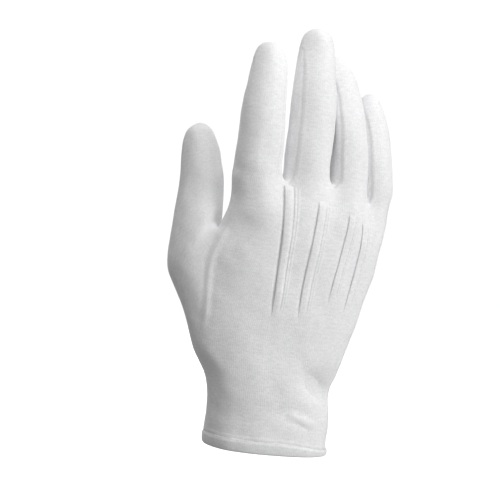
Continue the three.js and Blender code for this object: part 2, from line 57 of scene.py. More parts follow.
# Sections of the palm. at: height, a share of PALM_HEIGHT. wrist: 1 where width and depth are the
# wrist's. left, right, back and front: shares of them. set and drop: how far the two sides lie
# towards the palm. thumb: 1 beside its opening. pinch and valley: how far the first column is drawn
# to the thumb's side, and the cloth dips between two fingers.
PALM_COLUMNS = "at wrist left right back front set drop thumb pinch valley".split()
WRIST_SECTION = (0, 1, -0.517, 0.507, 0.5, 0.5, 0, 0, 0, 0, 0)
PALM_SECTIONS = [
    (0.075, 1, -0.521, 0.504, 0.49, 0.49, 0, 0, 0, 0, 0),
    (0.13, 1, -0.525, 0.5, 0.48, 0.48, 0, 0, 0, 0, 0),
    (0.22, 1, -0.543, 0.489, 0.47, 0.47, 0.06, 0, 0, 0, 0),
    (0.3, 0.6, -0.532, 0.457, 0.54, 0.48, 0.14, 0.03, 0, 0, 0),
    (0.385, 0, -0.505, 0.407, 0.64, 0.54, 0.2, 0.05, 1, 0.5, 0),
    (0.5, 0, -0.542, 0.451, 0.65, 0.5, 0.24, 0.07, 1, 0, 0),
    (0.61, 0, -0.542, 0.492, 0.635, 0.46, 0.22, 0.09, 1, 0.2, 0),
    (0.71, 0, -0.51, 0.529, 0.61, 0.43, 0.16, 0.11, 1, 0.55, 0),
    (0.81, 0, -0.441, 0.541, 0.565, 0.41, 0.09, 0.12, 1, 0.75, 0),
    (0.905, 0, -0.412, 0.569, 0.51, 0.405, 0.03, 0.13, 0, 0.3, 0.1),
    (1, 0, -0.419, 0.572, 0.43, 0.38, 0, 0.15, 0, 0, 0.32),
]

# Columns across the hand: where each is, from -1 to 1, and how much higher it ends.
COLUMNS = [
    (-0.87, -0.005), (-0.64, 0), (-0.38, 0), (-0.1, 0.008), (0.19, 0.01),
    (0.44, 0), (0.66, -0.028), (0.82, -0.045), (0.93, -0.055),
]

# The fingers. long, wide and deep: shares of the middle finger's. lean and turn: at the root and at
# the tip, and bends: at the root, the middle and the end joint, in degrees. pressed: how far its two
# sides are flattened by its neighbours.
FINGER_COLUMNS = "name long wide deep lean turn bends pressed".split()
FINGERS = [
    ("index", 0.895, 0.95, 0.96, (-3, 4), (-6, -6), (2, 6, 5), (0, 0)),
    ("middle", 1, 1, 1, (-1, -1), (-2, -2), (2, 6, 5), (0, 0.06)),
    ("ring", 0.925, 0.92, 0.94, (-5, -9), (8, 22), (5, 18, 12), (0.21, 0.09)),
    ("little", 0.76, 0.72, 0.76, (-5, -5), (8, 8), (7, 16, 10), (0.22, 0)),
]
JOINTS = (0, 0.42, 0.72)
JOINT_REACH = 0.12
WALK_STEPS = 12

# Rings along a finger: at and girth are shares, side is half the strip's angle in degrees.
FINGER_RINGS = [
    (0.1, 1.03, 43),
    (0.26, 1.025, 42),
    (0.45, 1, 41),
    (0.64, 0.95, 39),
    (0.81, 0.885, 34),
    (0.95, 0.81, 23),
]
TIP_BACK = 0.34
TIP_GIRTH = 0.73
STRIP_POINT = (0.5, 0.15)
FINGER_TIP_FLAT = 2  # from the last ring to the tip, on the flat pattern

# Rings along the thumb: x, y, z from its root, tilt in degrees, and half sizes wide and deep.
THUMB_ROOT = (-0.465, 0.21, 0.62)
THUMB_RINGS = [
    (-0.045, 0.068, 0.1, 71, 0.82, 0.58),
    (-0.076, 0.107, 0.226, 56, 0.75, 0.54),
    (-0.078, 0.143, 0.375, 45, 0.62, 0.5),
    (-0.068, 0.179, 0.542, 34, 0.505, 0.48),
    (-0.074, 0.202, 0.696, 25, 0.415, 0.44),
    (-0.088, 0.226, 0.833, 16, 0.36, 0.385),
    (-0.11, 0.238, 0.94, 13, 0.255, 0.26),
]
THUMB_TIP = (-0.112, 0.244, 1)
THUMB_FACING = -25
THUMB_TIP_FLAT = 6

# Dents: side -1 is the back and 1 the palm; across and wide are shares of KNUCKLE_WIDTH, at and tall
# of PALM_HEIGHT, and deep of HAND_DEPTH.
DENTS = [
    (-1, 0.24, 0.26, 0.13, 0.07, 0.12),
    (-1, 0.1, 0.16, 0.14, 0.04, 0.05),
    (-1, -0.27, 0.14, 0.13, 0.05, 0.06),
    (1, 0.12, 0.24, 0.18, 0.05, 0.08),
    (1, -0.07, 0.88, 0.3, 0.04, 0.06),
    (1, 0.03, 0.6, 0.18, 0.12, 0.09),
]
DENT_WRAP = 0.3

# Small folds, finer than the solids have. side, then both ends across and up, then reach and height.
FOLDS = [
    (-1, 12.7, 45.4, 27.7, 32.4, 5.5, -2.0),
    (-1, 7, 19.5, 17, 16.0, 1.3, -0.35),
    (-1, 6, 22.6, 18, 19.1, 2.5, 1.1),
    (-1, -34, 11.5, -21, 9, 6.5, -0.75),
    (-1, -33, 24, -18, 22, 5.0, 0.4),
    (-1, -38, 132, -18, 136, 8.0, 1.1),
    (-1, -4, 137, 6, 137, 7.0, 0.9),
    (-1, 18, 132, 26, 130, 7.0, 0.7),
    (-1, 36, 122, 44, 118, 7.0, 0.6),
    (-1, -41, 149.5, -24, 150, 9.0, 1.05),
    (-1, 37, 60, 41, 70, 4.0, -0.5),
    (1, -20, 118, 25, 122, 2.6, -0.9),
    (1, -24, 96, 8, 108, 3.0, -0.8),
    (1, -14, 52, 6, 96, 3.2, -0.9),
    (1, -20, 34, 18, 30, 2.6, -0.8),
    (1, -16, 25, 22, 23, 2.4, -0.6),
]
FOLD_FACING = 0.85  # how squarely the cloth faces the back or the palm where a fold has its full height
FOLD_END_LOSS = 0.5  # the share of its height that a fold loses at its ends

# The index finger's outer side: how much cloth is let out, the heights over which it grows and goes
# again, how much is taken in, where and with what reach, where the side begins, across and deep, and
# how far round it the cloth counts as facing out.
LET_OUT, LET_OUT_GROWS, LET_OUT_GOES = 1.15, (147, 161), (165, 216)
TAKEN_IN, TAKEN_IN_AT, TAKEN_IN_REACH = 0.9, 141, 8
OUTER_SIDE, OUTER_DEPTH, OUTER_WRAP = (-24, -32), (11, 17), 1.3

# Unevenness of worn cloth: wavelengths and heights of its waves, how many ways each runs, and the seed
UNEVENNESS = [(31, 0.3), (17, 0.16), (9, 0.06)]
WAVE_WAYS = 6
UNEVEN_SEED = 11

# Seams. bells: height, middle and reach of each bell across one. pucker: height of the small puckers
# along it, and fade: the distance in which they fade. dark: how much painted shade darkens the cloth
# in the seam's groove, and its reach.
FLAT_SEAM = {"bells": [(-0.5, 0, 0.75), (0.2, 2.0, 1.0)], "pucker": 0.04, "fade": 1.6, "dark": (1, 0.8)}
THUMB_SEAM = {"bells": [(0.5, 0, 1.5), (-0.14, 3.4, 1.4)], "pucker": 0.02, "fade": 1.8}
HEM_SEAM = {"bells": [(-0.16, 0, 0.5), (0.2, 1.3, 0.9)], "pucker": 0.03, "fade": 1.6, "dark": (0.7, 0.5)}
PUCKERS = [(1, 2.7, 0.55), (0.6, 4.3, -0.3)]  # share, wavelength and slant
THUMB_SEAM_FOOT, THUMB_SEAM_TOP = (58, 78), (116, 124)  # heights over which its ridge rises and falls
PLAIN_TIP = (9, 24)  # distances from a fingertip between which the seams come in
FAR = 99.0  # further than any seam reaches
SEAM_STEPS, HEM_SEAM_STEPS = 16, 10  # edges walked from a seam

# The hem's section: how far its middle line lies in and swells out, the height of its round lower
# edge, how far its top is drawn in, from which share of its height and with what share of that on the
# inside, and waves round it.
HEM_SET, HEM_SWELL, HEM_EDGE = -0.3, 0.2, 1.3
HEM_TOP_DRAW, HEM_TOP_FROM, HEM_TOP_INSIDE = 0.4, 0.82, 0.3
HEM_WAVES = [(0.12, 0.55, 0), (0.08, 0.21, 1)]  # height, angle for each mm, and start

# The tucks on the back. edge: the foot of the steep side, across at each height. high: of the ridge.
# wide: from the steep side to the first row of stitches, at the top and at the foot.
TUCKS = [
    {
        "node": "back_point_1",
        "up": (150.5, 135, 120, 103, 92, 84, 73),
        "edge": (-12.6, -11.9, -11.9, -11.9, -11.7, -11.8, -12.6),
        "high": 1.5,
        "wide": (4.6, 3.4),
    },
    {
        "node": "back_point_2",
        "up": (144, 129, 115, 102, 91, 81, 73),
        "edge": (7.9, 7.1, 5.6, 4.6, 3.8, 3.5, 3.3),
        "high": 1.05,
        "wide": (4.2, 3.8),
    },
    {
        "node": "back_point_3",
        "up": (139, 130, 120, 111, 102, 92, 82),
        "edge": (27.0, 26.4, 25.1, 23.8, 22.2, 20.9, 19.9),
        "high": 0.75,
        "wide": (3.6, 3.2),
    },
    {
        "node": "back_point_4",
        "up": (135, 125, 112, 103, 95, 88, 77),
        "edge": (36.6, 36.5, 35.8, 34.6, 33, 31.2, 30.1),
        "high": 0.75,
        "wide": (3.4, 3.0),
    },
]

# A tuck's section from its steep side to where it runs out: across in shares of its width, and up in
# shares of its height. The first and last points lie under the cloth.
TUCK_SECTION = [
    (-0.02, -0.6), (-0.1, -0.25), (-0.17, 0.2), (-0.18, 0.6), (-0.14, 0.86), (-0.04, 0.98),
    (0.14, 0.97), (0.36, 0.88), (0.6, 0.74), (0.82, 0.5), (1.0, 0.12), (1.14, 0.3),
    (1.28, 0.32), (1.42, 0.06), (1.56, 0.16), (1.8, 0.02), (2.1, -0.5),
]
TUCK_ACROSS, TUCK_UP = zip(*TUCK_SECTION)
TUCK_RIDGE = 4  # the point of the section from which it only runs on to the right
TUCK_RINGS, TUCK_RING_POINTS = 300, 52
TUCK_SPARE = 0.5  # how far a tuck runs on past its table at both ends
TUCK_CLOSE, TUCK_BOTTOM = 0.15, -0.75  # where the section closes under the cloth
TUCK_FOOT_RUN, TUCK_TOP_RUN = 17, (-4, 1)  # where it runs out, above its foot and about its top
TUCK_FOOT_CURVE = 0.8
TUCK_SINK = 0.4  # how deep its ends lie in the cloth
TUCK_WOBBLE = (0.05, 2.9, 0.9, 0.5)  # height and wavelength down it, and middle and reach across it

# The cloth beside a tuck's steep side: the middle of its hollow, across, the hollow's depth as a share
# of the tuck's height, and the reaches of the hollow and of the painted shade that darkens the crease
# in it
HOLLOW_MIDDLE, HOLLOW_DEPTH, HOLLOW_REACH, CREASE_SHADE_REACH = -0.5, 0.65, 1.3, 1.1

# The two rows of stitches: where they lie, in shares of the tuck's width, how much painted shade
# darkens their grooves, the reach of that, and how high they stand. ends: plain lengths above a tuck's
# foot and below its top.
STITCH_ROWS, STITCH_PAINTED_SHADE, STITCH_GROOVE = (1.0, 1.42), (0.8, 0.5), 0.1
STITCH_LIFTS, STITCH_ENDS = (0.048, 0.032), (8, 7)
TUCK_STITCH = {"every": 2.3, "long": 1.7, "thick": 0.34}
HEM_STITCH = {"every": 2.6, "long": 1.6, "thick": 0.36}
STITCH_BOW = 0.35  # how far its ends dip, a share of its thickness
CAPSULE_RINGS, CAPSULE_SIDES = 6, 6
HEM_STITCH_BAND = 0.02  # how near its row's level a point counts, a share of the hem's height
WRIST_STEPS, WRIST_TURN = 241, 0.02  # samples round the wrist, and a small turn round it, in radians

FIT_ROUNDS = 5  # in which the cage is moved until its skin passes through the sections
LEVELS = 4  # of subdivision, for the outside of the cloth; the inside has one less
PIECES = [
    "back_panel",
    "palm_panel",
    "fourchette_index_middle",
    "fourchette_middle_ring",
    "fourchette_ring_little",
    "thumb",
    "wrist_hem",
]

LAST_COLUMN = len(COLUMNS) - 1
LITTLE_SIDE = LAST_COLUMN + 1
THUMB_SIDE = 2 * LITTLE_SIDE + 1
BACK_MIDDLE = 4


def on_palm(column):
    """The palm's columns follow the back's on a ring, in the other order."""
    return LITTLE_SIDE + 1 + LAST_COLUMN - column


PALM_MIDDLE = on_palm(BACK_MIDDLE)


def smooth(low, high, x):
    """0 below low, 1 above high, and 3t squared less 2t cubed between them."""
    t = np.clip((np.asarray(x, float) - low) / (high - low), 0, 1)
    return t * t * (3 - 2 * t)


def unit(v):
    """Each vector divided by its length."""
    return v / np.maximum(np.linalg.norm(v, axis=-1, keepdims=True), 1e-12)


def turned(v, axis, degrees):
    """A vector turned about a unit axis, by Rodrigues' formula."""
    v, axis, angle = np.asarray(v, float), np.asarray(axis, float), math.radians(degrees)
    c, s = math.cos(angle), math.sin(angle)
    return v * c + np.cross(axis, v) * s + axis * (axis @ v) * (1 - c)


# The cage


class Cage:
    """Points, and four-sided faces with their piece and the place of each corner on its flat pattern."""

    def __init__(self):
        self.points, self.faces, self.pieces, self.pattern, self.poles = [], [], [], [], []

    def ring(self, points):
        start = len(self.points)
        self.points.extend(np.asarray(p, float) for p in points)
        return list(range(start, len(self.points)))

    def face(self, corners, piece, pattern):
        if piece:
            self.faces.append(corners)
            self.pieces.append(PIECES.index(piece))
            self.pattern.append(pattern)

    def band(self, low, high, pieces, low_flat, high_flat):
        """Faces between two rings. A ring's flat places are two for each stretch: its start and its end."""
        n = len(low)
        for i in range(n):
            j = (i + 1) % n
            flat = [low_flat[i][0], low_flat[i][1], high_flat[i][1], high_flat[i][0]]
            self.face([low[i], low[j], high[j], high[i]], pieces[i], flat)

    def cap(self, ring, pole, pieces, flat, pole_flat):
        """Faces from a ring to the pole in its middle, each taking three of the ring's points."""
        (top,) = self.ring([pole])
        self.poles.append(top)
        n = len(ring)
        for i in range(0, n, 2):
            corners = [ring[i - 1], ring[i], ring[(i + 1) % n], top]
            places = [flat[i - 1][0], flat[i][0], flat[i][1], pole_flat[i // 2]]
            self.face(corners, pieces[i // 2], places)


def around(points):
    """Distance along a closed ring of points, from the first one back to it."""
    points = np.asarray(points)
    steps = np.linalg.norm(np.roll(points, -1, axis=0) - points, axis=1)
    return np.concatenate([[0], np.cumsum(steps)])


def flat_places(length, up, starts, signs=None):
    """Flat places of a ring: across is the distance along it from each stretch's own start, and up is
    given."""
    signs = np.ones(len(starts)) if signs is None else np.asarray(signs, float)
    first = np.stack([signs * (length[:-1] - starts), up[:-1]], axis=1)
    second = np.stack([signs * (length[1:] - starts), up[1:]], axis=1)
    return np.stack([first, second], axis=1)


def section_point(row, z, across, side):
    """A superellipse's point: its side level plus the depth times (1 - |across|^r)^(1/r), r the roundness."""
    wrist = row["wrist"]
    width = KNUCKLE_WIDTH + (WRIST_WIDTH - KNUCKLE_WIDTH) * wrist
    depth = HAND_DEPTH + (WRIST_DEPTH - HAND_DEPTH) * wrist
    middle, half = (row["left"] + row["right"]) / 2 * width, (row["right"] - row["left"]) / 2 * width
    fullness = max(0, 1 - abs(across) ** SECTION_ROUNDNESS) ** (1 / SECTION_ROUNDNESS)
    level = HAND_DEPTH * (row["set"] + (row["drop"] - row["set"]) * (across + 1) / 2)
    reach = -row["back"] if side < 0 else side * row["front"]
    return np.array([middle + half * across, level + reach * depth * fullness, z])


def palm_ring(row, height):
    """One ring of the palm: over the back, round the little finger's side, and back along the palm."""

    def z(rise):
        return height * (1 + rise * (height / PALM_HEIGHT) ** 2)

    def line(side):
        points = []
        for column, (usual, rise) in enumerate(COLUMNS):
            across = usual if column else usual - (1 + usual) * row["pinch"]
            p = section_point(row, z(rise), across, side)
            if column % 2 == 0 and 0 < column < LAST_COLUMN:
                p = p + (section_point(row, z(rise), across, 0) - p) * row["valley"]
            points.append(p)
        return points

    little = section_point(row, z(COLUMNS[-1][1]), 1, 0)
    thumb = section_point(row, z(COLUMNS[0][1]), -1, 0)
    return [*line(-1), little, *line(1)[::-1], thumb]


def palm_flat(points):
    """The back's flat pattern is measured from its middle column, and the palm's from its own."""
    length = around(points)
    up = np.append([p[2] for p in points], points[0][2])
    starts = np.full(len(points), length[BACK_MIDDLE])
    starts[LITTLE_SIDE : on_palm(0)] = length[PALM_MIDDLE]
    starts[on_palm(0) :] += length[-1]
    return flat_places(length, up, starts)


def palm_pieces(beside_thumb):
    """The back is folded round the thumb's side, and meets the palm down the little finger's side."""
    pieces = [
        "palm_panel" if LITTLE_SIDE <= i < on_palm(0) else "back_panel" for i in range(THUMB_SIDE + 1)
    ]
    if beside_thumb:
        pieces[on_palm(0)] = pieces[THUMB_SIDE] = None
    return pieces


def hem_height(x):
    """The hem is lower towards the little finger's side, by a smooth step from the middle to there."""
    return HEM_HEIGHT * (1 + (HEM_LOW_SIDE - 1) * smooth(0, WRIST_WIDTH / 2, x))


def build_palm(cage):
    wrist = dict(zip(PALM_COLUMNS, WRIST_SECTION))
    rows = [dict(zip(PALM_COLUMNS, row)) for row in PALM_SECTIONS]
    hem = []
    for share in (0, 0.5, 1):
        points = []
        for p in palm_ring(wrist, 0):
            height = float(hem_height(p[0]))
            drawn = (1 - HEM_DRAW) * (height / HEM_HEIGHT) * (1 - share) ** 2
            points.append(np.array([p[0] * (1 - drawn), p[1] * (1 - drawn), share * height]))
        hem.append((cage.ring(points), palm_flat(points)))
    rings = []
    for row in rows:
        points = palm_ring(row, row["at"] * PALM_HEIGHT)
        rings.append((cage.ring(points), palm_flat(points)))
    for (low, low_flat), (high, high_flat) in zip(hem, hem[1:]):
        cage.band(low, high, ["wrist_hem"] * len(low), low_flat, high_flat)
    cage.band(hem[-1][0], rings[0][0], palm_pieces(False), hem[-1][1], rings[0][1])
    for k in range(1, len(rings)):
        beside_thumb = rows[k - 1]["thumb"] and rows[k]["thumb"]
        cage.band(rings[k - 1][0], rings[k][0], palm_pieces(beside_thumb), rings[k - 1][1], rings[k][1])
    return [ring for ring, _ in rings], rings[-1][1]


def finger_direction(finger, share):
    """Up, turned towards the palm by each joint's bend as it is passed, and leaned across the hand."""
    bend = finger["bends"][0]
    for angle, joint in zip(finger["bends"][1:], JOINTS[1:]):
        bend += angle * min(1, max(0, (share - joint) / JOINT_REACH / 2 + 0.5))
    lean = finger["lean"][0] + (finger["lean"][1] - finger["lean"][0]) * share
    return turned(turned((0, 0, 1), (1, 0, 0), -bend), (0, 1, 0), lean)


def finger_ring(centre, along, turn, wide, deep, side, pressed):
    """Eight points of an ellipse square to the finger, from its back's corner on the thumb's side."""
    across = np.array([math.cos(math.radians(turn)), math.sin(math.radians(turn)), 0])
    across = unit(across - along * (across @ along))
    front = np.cross(along, across)
    corner = math.radians(side)
    half, full = math.pi / 2, math.pi
    angles = np.array([full + corner, -half, -corner, 0, corner, half, full - corner, full])
    kept = np.array([1, 1, 1, 1 - pressed[1], 1, 1, 1, 1 - pressed[0]])
    return centre + np.outer(np.cos(angles) * wide * kept, across) + np.outer(np.sin(angles) * deep, front)


def finger_pieces(i, is_tip):
    """The pieces round a finger: its back, the strip to the next finger, its palm and the strip before."""

    def strip(a, b):
        if a < 0 or b >= len(FINGERS) or is_tip:
            return None
        return f"fourchette_{FINGERS[a][0]}_{FINGERS[b][0]}"

    before, after = strip(i - 1, i), strip(i, i + 1)
    folded = i == 0 and not is_tip
    return [
        "back_panel",
        "back_panel",
        after or "back_panel",
        after or "palm_panel",
        "palm_panel",
        "palm_panel",
        before or ("back_panel" if folded else "palm_panel"),
        before or "back_panel",
    ]


def finger_flat(points, up, reach, pieces, middles):
    """Each stretch is measured from its piece's middle; a strip runs up one finger and down the next."""
    length = around(points)
    up = np.append(up, up[0])
    starts, signs = [], []
    for i, piece in enumerate(pieces):
        if piece == "back_panel":
            starts.append(length[1] - middles[0] + (length[-1] if i > 4 else 0))
            signs.append(1)
        elif piece == "palm_panel":
            starts.append(length[5] - middles[1])
            signs.append(1)
        else:
            starts.append(length[3] if i < 4 else length[7])
            signs.append(1 if i < 4 else -1)
    flat = flat_places(length, up, np.array(starts), signs)
    for i, piece in enumerate(pieces):
        if piece.startswith("fourchette"):
            flat[i, :, 1] = reach * signs[i]
    return flat


def build_finger(cage, i, top, top_flat, forks):
    """A finger's rings, its centre walked up from the root in short straight steps."""
    finger = dict(zip(FINGER_COLUMNS, FINGERS[i]))
    left, middle, right = 2 * i, 2 * i + 1, 2 * i + 2
    ends = [forks[i], forks[i + 1]]
    back = [top[left], top[middle], top[right]]
    front = [top[on_palm(column)] for column in (right, middle, left)]
    middles = (top_flat[middle][0][0], top_flat[on_palm(middle)][0][0])
    last = [*back, ends[1], *front, ends[0]]
    root = (cage.points[ends[0]] + cage.points[ends[1]]) / 2

    length = finger["long"] * FINGER_LENGTH
    wide, deep = finger["wide"] * FINGER_WIDTH / 2, finger["deep"] * FINGER_DEPTH / 2
    tip_radius = FINGER_RINGS[-1][1] * wide
    rings = [(at * (length - tip_radius), girth, side) for at, girth, side in FINGER_RINGS]
    rings.append((length - TIP_BACK * tip_radius, FINGER_RINGS[-1][1] * TIP_GIRTH, FINGER_RINGS[-1][2]))

    centre, done, points = root.copy(), 0.0, []

    def walk(centre, done, reach):
        step = (reach - done) / WALK_STEPS
        for k in range(WALK_STEPS):
            centre = centre + finger_direction(finger, (done + (k + 0.5) * step) / length) * step
        return centre, reach

    for reach, girth, side in rings:
        centre, done = walk(centre, done, reach)
        along = finger_direction(finger, reach / length)
        turn = finger["turn"][0] + (finger["turn"][1] - finger["turn"][0]) * reach / length
        points.append(finger_ring(centre, along, turn, wide * girth, deep * girth, side, finger["pressed"]))
    centre, done = walk(centre, done, length)
    for k in (3, 7):
        points[-2][k] += (points[-1][k] - points[-2][k]) * STRIP_POINT[0]
        points[-1][k] += (centre - points[-1][k]) * STRIP_POINT[1]

    last_points, last_reach = [cage.points[k] for k in last], 0.0
    last_up = np.array([p[2] for p in last_points])
    for k, (ring_points, (reach, _, _)) in enumerate(zip(points, rings)):
        pieces = finger_pieces(i, k == len(points) - 1)
        up = np.full(8, root[2] + reach)
        low_flat = finger_flat(last_points, last_up, last_reach, pieces, middles)
        high_flat = finger_flat(ring_points, up, reach, pieces, middles)
        ring = cage.ring(ring_points)
        cage.band(last, ring, pieces, low_flat, high_flat)
        last, last_points, last_up, last_reach = ring, ring_points, up, reach
    pole_flat = [(middles[side], root[2] + length + FINGER_TIP_FLAT) for side in (0, 0, 1, 1)]
    cage.cap(last, centre, ["back_panel"] * 2 + ["palm_panel"] * 2, high_flat, pole_flat)


def build_thumb(cage, rows):
    """The thumb's rings: ellipses that turn from its upright opening to level at its tip."""
    opening = PALM_COLUMNS.index("thumb")
    open_rows = [ring for ring, row in zip(rows, PALM_SECTIONS) if row[opening]]
    down_palm = [ring[on_palm(0)] for ring in open_rows][::-1]
    up_back = [ring[0] for ring in open_rows]
    last = [open_rows[-1][THUMB_SIDE], *down_palm, open_rows[0][THUMB_SIDE], *up_back]
    root = np.array(THUMB_ROOT) * (KNUCKLE_WIDTH, HAND_DEPTH, PALM_HEIGHT)
    centres = [root + np.array(row[:3]) * THUMB_LENGTH for row in THUMB_RINGS]
    centres.append(root + np.array(THUMB_TIP) * THUMB_LENGTH)
    n = len(last)
    back, cut = 3 * n // 4, n // 4
    angles = np.arange(n) / n * 2 * math.pi

    def flat(points, up):
        length = around(points)
        starts = np.where(np.arange(n) < cut, length[back] - length[-1], length[back])
        return flat_places(length, np.full(n + 1, up), starts)

    last_points, up = np.array([cage.points[k] for k in last]), 0.0
    last_centre = last_points.mean(axis=0)
    for k, (_, _, _, tilt, wide, deep) in enumerate(THUMB_RINGS):
        long = turned(turned((1, 0, 0), (0, 1, 0), -tilt), (0, 0, 1), THUMB_FACING)
        along = centres[k + 1] - centres[max(k - 1, 0)]
        short = unit(np.cross(along, long))
        points = centres[k] + np.outer(np.cos(angles) * wide * THUMB_WIDTH, long)
        points = points + np.outer(np.sin(angles) * deep * THUMB_DEPTH, short)
        ring = cage.ring(points)
        high = up + np.linalg.norm(centres[k] - last_centre)
        cage.band(last, ring, ["thumb"] * n, flat(last_points, up), flat(points, high))
        last, last_points, last_centre, up = ring, points, centres[k], high
    pole_flat = [(0.0, up + THUMB_TIP_FLAT)] * (n // 2)
    cage.cap(last, centres[-1], ["thumb"] * (n // 2), flat(last_points, up), pole_flat)


def build_cage():
    """The whole glove: palm, forks, four fingers and the thumb."""
    cage = Cage()
    rows, top_flat = build_palm(cage)
    top = rows[-1]
    forks = [top[THUMB_SIDE]]
    for column in range(2, LAST_COLUMN, 2):
        middle = (cage.points[top[column]] + cage.points[top[on_palm(column)]]) / 2
        forks += cage.ring([middle + (0, 0, FORK_LIFT)])
    forks.append(top[LITTLE_SIDE])
    for i in range(len(FINGERS)):
        build_finger(cage, i, top, top_flat, forks)
    build_thumb(cage, rows)
    return cage


# The smooth skin


class Skin:
    """A four-sided mesh as arrays, with its edges worked out: points, faces, pieces and flat places."""

    def __init__(self, points, faces, pieces, flat):
        self.points, self.faces, self.pieces, self.flat = points, faces, pieces, flat
        count = len(points)
        ahead = np.roll(faces, -1, axis=1)
        keys = np.minimum(faces, ahead).astype(np.int64) * count + np.maximum(faces, ahead)
        found, which, sharing = np.unique(keys.ravel(), return_inverse=True, return_counts=True)
        self.face_edges = which.reshape(faces.shape)
        self.edges = np.stack([found // count, found % count], axis=1)
        self.open_edge = sharing == 1
        self.on_border = np.zeros(count, bool)
        self.on_border[self.edges[self.open_edge].ravel()] = True
        meeting = np.bincount(self.edges.ravel(), minlength=count)
        self.edges_at = np.maximum(meeting, 1)[:, None].astype(float)

    def gather(self, where, values, count=None):
        """The sum of the values that are sent to each place. count: of places, if not one for each point."""
        count = count or len(self.points)
        columns = [np.bincount(where, weights=column, minlength=count) for column in values.T]
        return np.stack(columns, axis=1)

    def neighbour_sums(self):
        """Sums over each point's edge neighbours, its border neighbours and the points across its faces."""
        a, b = self.edges.T
        edges = self.gather(a, self.points[b]) + self.gather(b, self.points[a])
        c, d = self.edges[self.open_edge].T
        border = self.gather(c, self.points[d]) + self.gather(d, self.points[c])
        across = self.gather(self.faces.ravel(), self.points[np.roll(self.faces, 2, axis=1).ravel()])
        return edges, border, across

    def limit(self):
        """Where the points end when Catmull and Clark's rule is used for ever. Inside, where n edges meet:
        (n^2 p + 4 E + A) / n(n + 5), E the sum of the edge neighbours and A of those across. On a border:
        (4 p + B) / 6, B the sum of the border neighbours."""
        p, n = self.points, self.edges_at
        edges, border, across = self.neighbour_sums()
        inside = (n * n * p + 4 * edges + across) / (n * (n + 5))
        return np.where(self.on_border[:, None], (4 * p + border) / 6, inside)

    def subdivided(self):
        """One step of Catmull and Clark's rule. A corner's flat place is halved along its face's straight
        sides."""
        p, f, n = self.points, self.faces, self.edges_at
        middles = p[f].mean(axis=1)
        at_corners = np.repeat(middles, 4, axis=0)
        edges, border, _ = self.neighbour_sums()
        faces_at = np.maximum(np.bincount(f.ravel(), minlength=len(p)), 1)[:, None]
        inside = ((n - 2) * p + self.gather(f.ravel(), at_corners) / faces_at + edges / n) / n
        moved = np.where(self.on_border[:, None], (6 * p + border) / 8, inside)
        on_edges = p[self.edges].mean(axis=1)
        beside = self.gather(self.face_edges.ravel(), at_corners, len(self.edges)) / 2
        on_edges = np.where(self.open_edge[:, None], on_edges, (on_edges + beside) / 2)
        centre = np.repeat(len(p) + np.arange(len(f))[:, None], 4, axis=1)
        edge_ids = len(p) + len(f) + self.face_edges
        faces = np.stack([f, edge_ids, centre, np.roll(edge_ids, 1, axis=1)], axis=2).reshape(-1, 4)
        ahead = (self.flat + np.roll(self.flat, -1, axis=1)) / 2
        middle = np.repeat(self.flat.mean(axis=1)[:, None], 4, axis=1)
        flat = np.stack([self.flat, ahead, middle, np.roll(ahead, 1, axis=1)], axis=2).reshape(-1, 4, 2)
        return Skin(np.concatenate([moved, middles, on_edges]), faces, np.repeat(self.pieces, 4), flat)

    def normals(self, points):
        """The sum of a point's faces' diagonals' cross products, made one long, out of the glove."""
        a, b, c, d = (points[self.faces[:, k]] for k in range(4))
        faces = np.cross(c - a, d - b)
        return unit(self.gather(self.faces.ravel(), np.repeat(faces, 4, axis=0)))

    def at_border(self, own):
        """Which sides of a piece's own faces lie on its border: those of edges that it uses once."""
        edges = self.face_edges[own]
        return np.bincount(edges.ravel(), minlength=len(self.edges))[edges] == 1

    def seam_distance(self, points, wanted, steps=SEAM_STEPS):
        """How far each point is from the nearest wanted seam, walking along edges, step by step."""
        low = np.full(len(self.edges), len(PIECES))
        high = np.full(len(self.edges), -1)
        owners = np.repeat(self.pieces, 4)
        np.minimum.at(low, self.face_edges.ravel(), owners)
        np.maximum.at(high, self.face_edges.ravel(), owners)
        seam = (low != high) & wanted(high)
        distance = np.full(len(points), FAR)
        distance[self.edges[seam].ravel()] = 0
        a, b = self.edges.T
        length = np.linalg.norm(points[a] - points[b], axis=1)
        for _ in range(steps):
            before = distance.copy()
            np.minimum.at(distance, a, before[b] + length)
            np.minimum.at(distance, b, before[a] + length)
        return distance


def build_skin():
    """The cage is moved until its smooth skin passes through the sections, and is then subdivided. Gives
    the skin of the cloth's inside, the finer one of its outside, and the fingertips."""
    cage = build_cage()
    tips = [cage.points[pole] for pole in cage.poles]
    pattern = np.array(cage.pattern, float)
    skin = Skin(np.array(cage.points), np.array(cage.faces), np.array(cage.pieces), pattern)
    wanted = skin.points.copy()
    for _ in range(FIT_ROUNDS):
        skin.points = skin.points + wanted - skin.limit()
    for _ in range(LEVELS - 1):
        skin = skin.subdivided()
    return skin, skin.subdivided(), tips


# The cloth's relief


def bell(x):
    """A bell: e to minus x squared."""
    return np.exp(-np.square(x))


def dented(points, normals):
    """Each dent is a bell across and up the hand, pressed in along the normal on its own side."""
    inwards = np.zeros(len(points))
    for side, across, at, wide, tall, deep in DENTS:
        x = (points[:, 0] / KNUCKLE_WIDTH - across) / wide
        z = (points[:, 2] / PALM_HEIGHT - at) / tall
        facing = np.clip(side * normals[:, 1] + DENT_WRAP, 0, 1)
        inwards += deep * HAND_DEPTH * facing * bell(x) * bell(z)
    above_hem = points[:, 2] > hem_height(points[:, 0])
    return points - normals * (inwards * above_hem)[:, None]


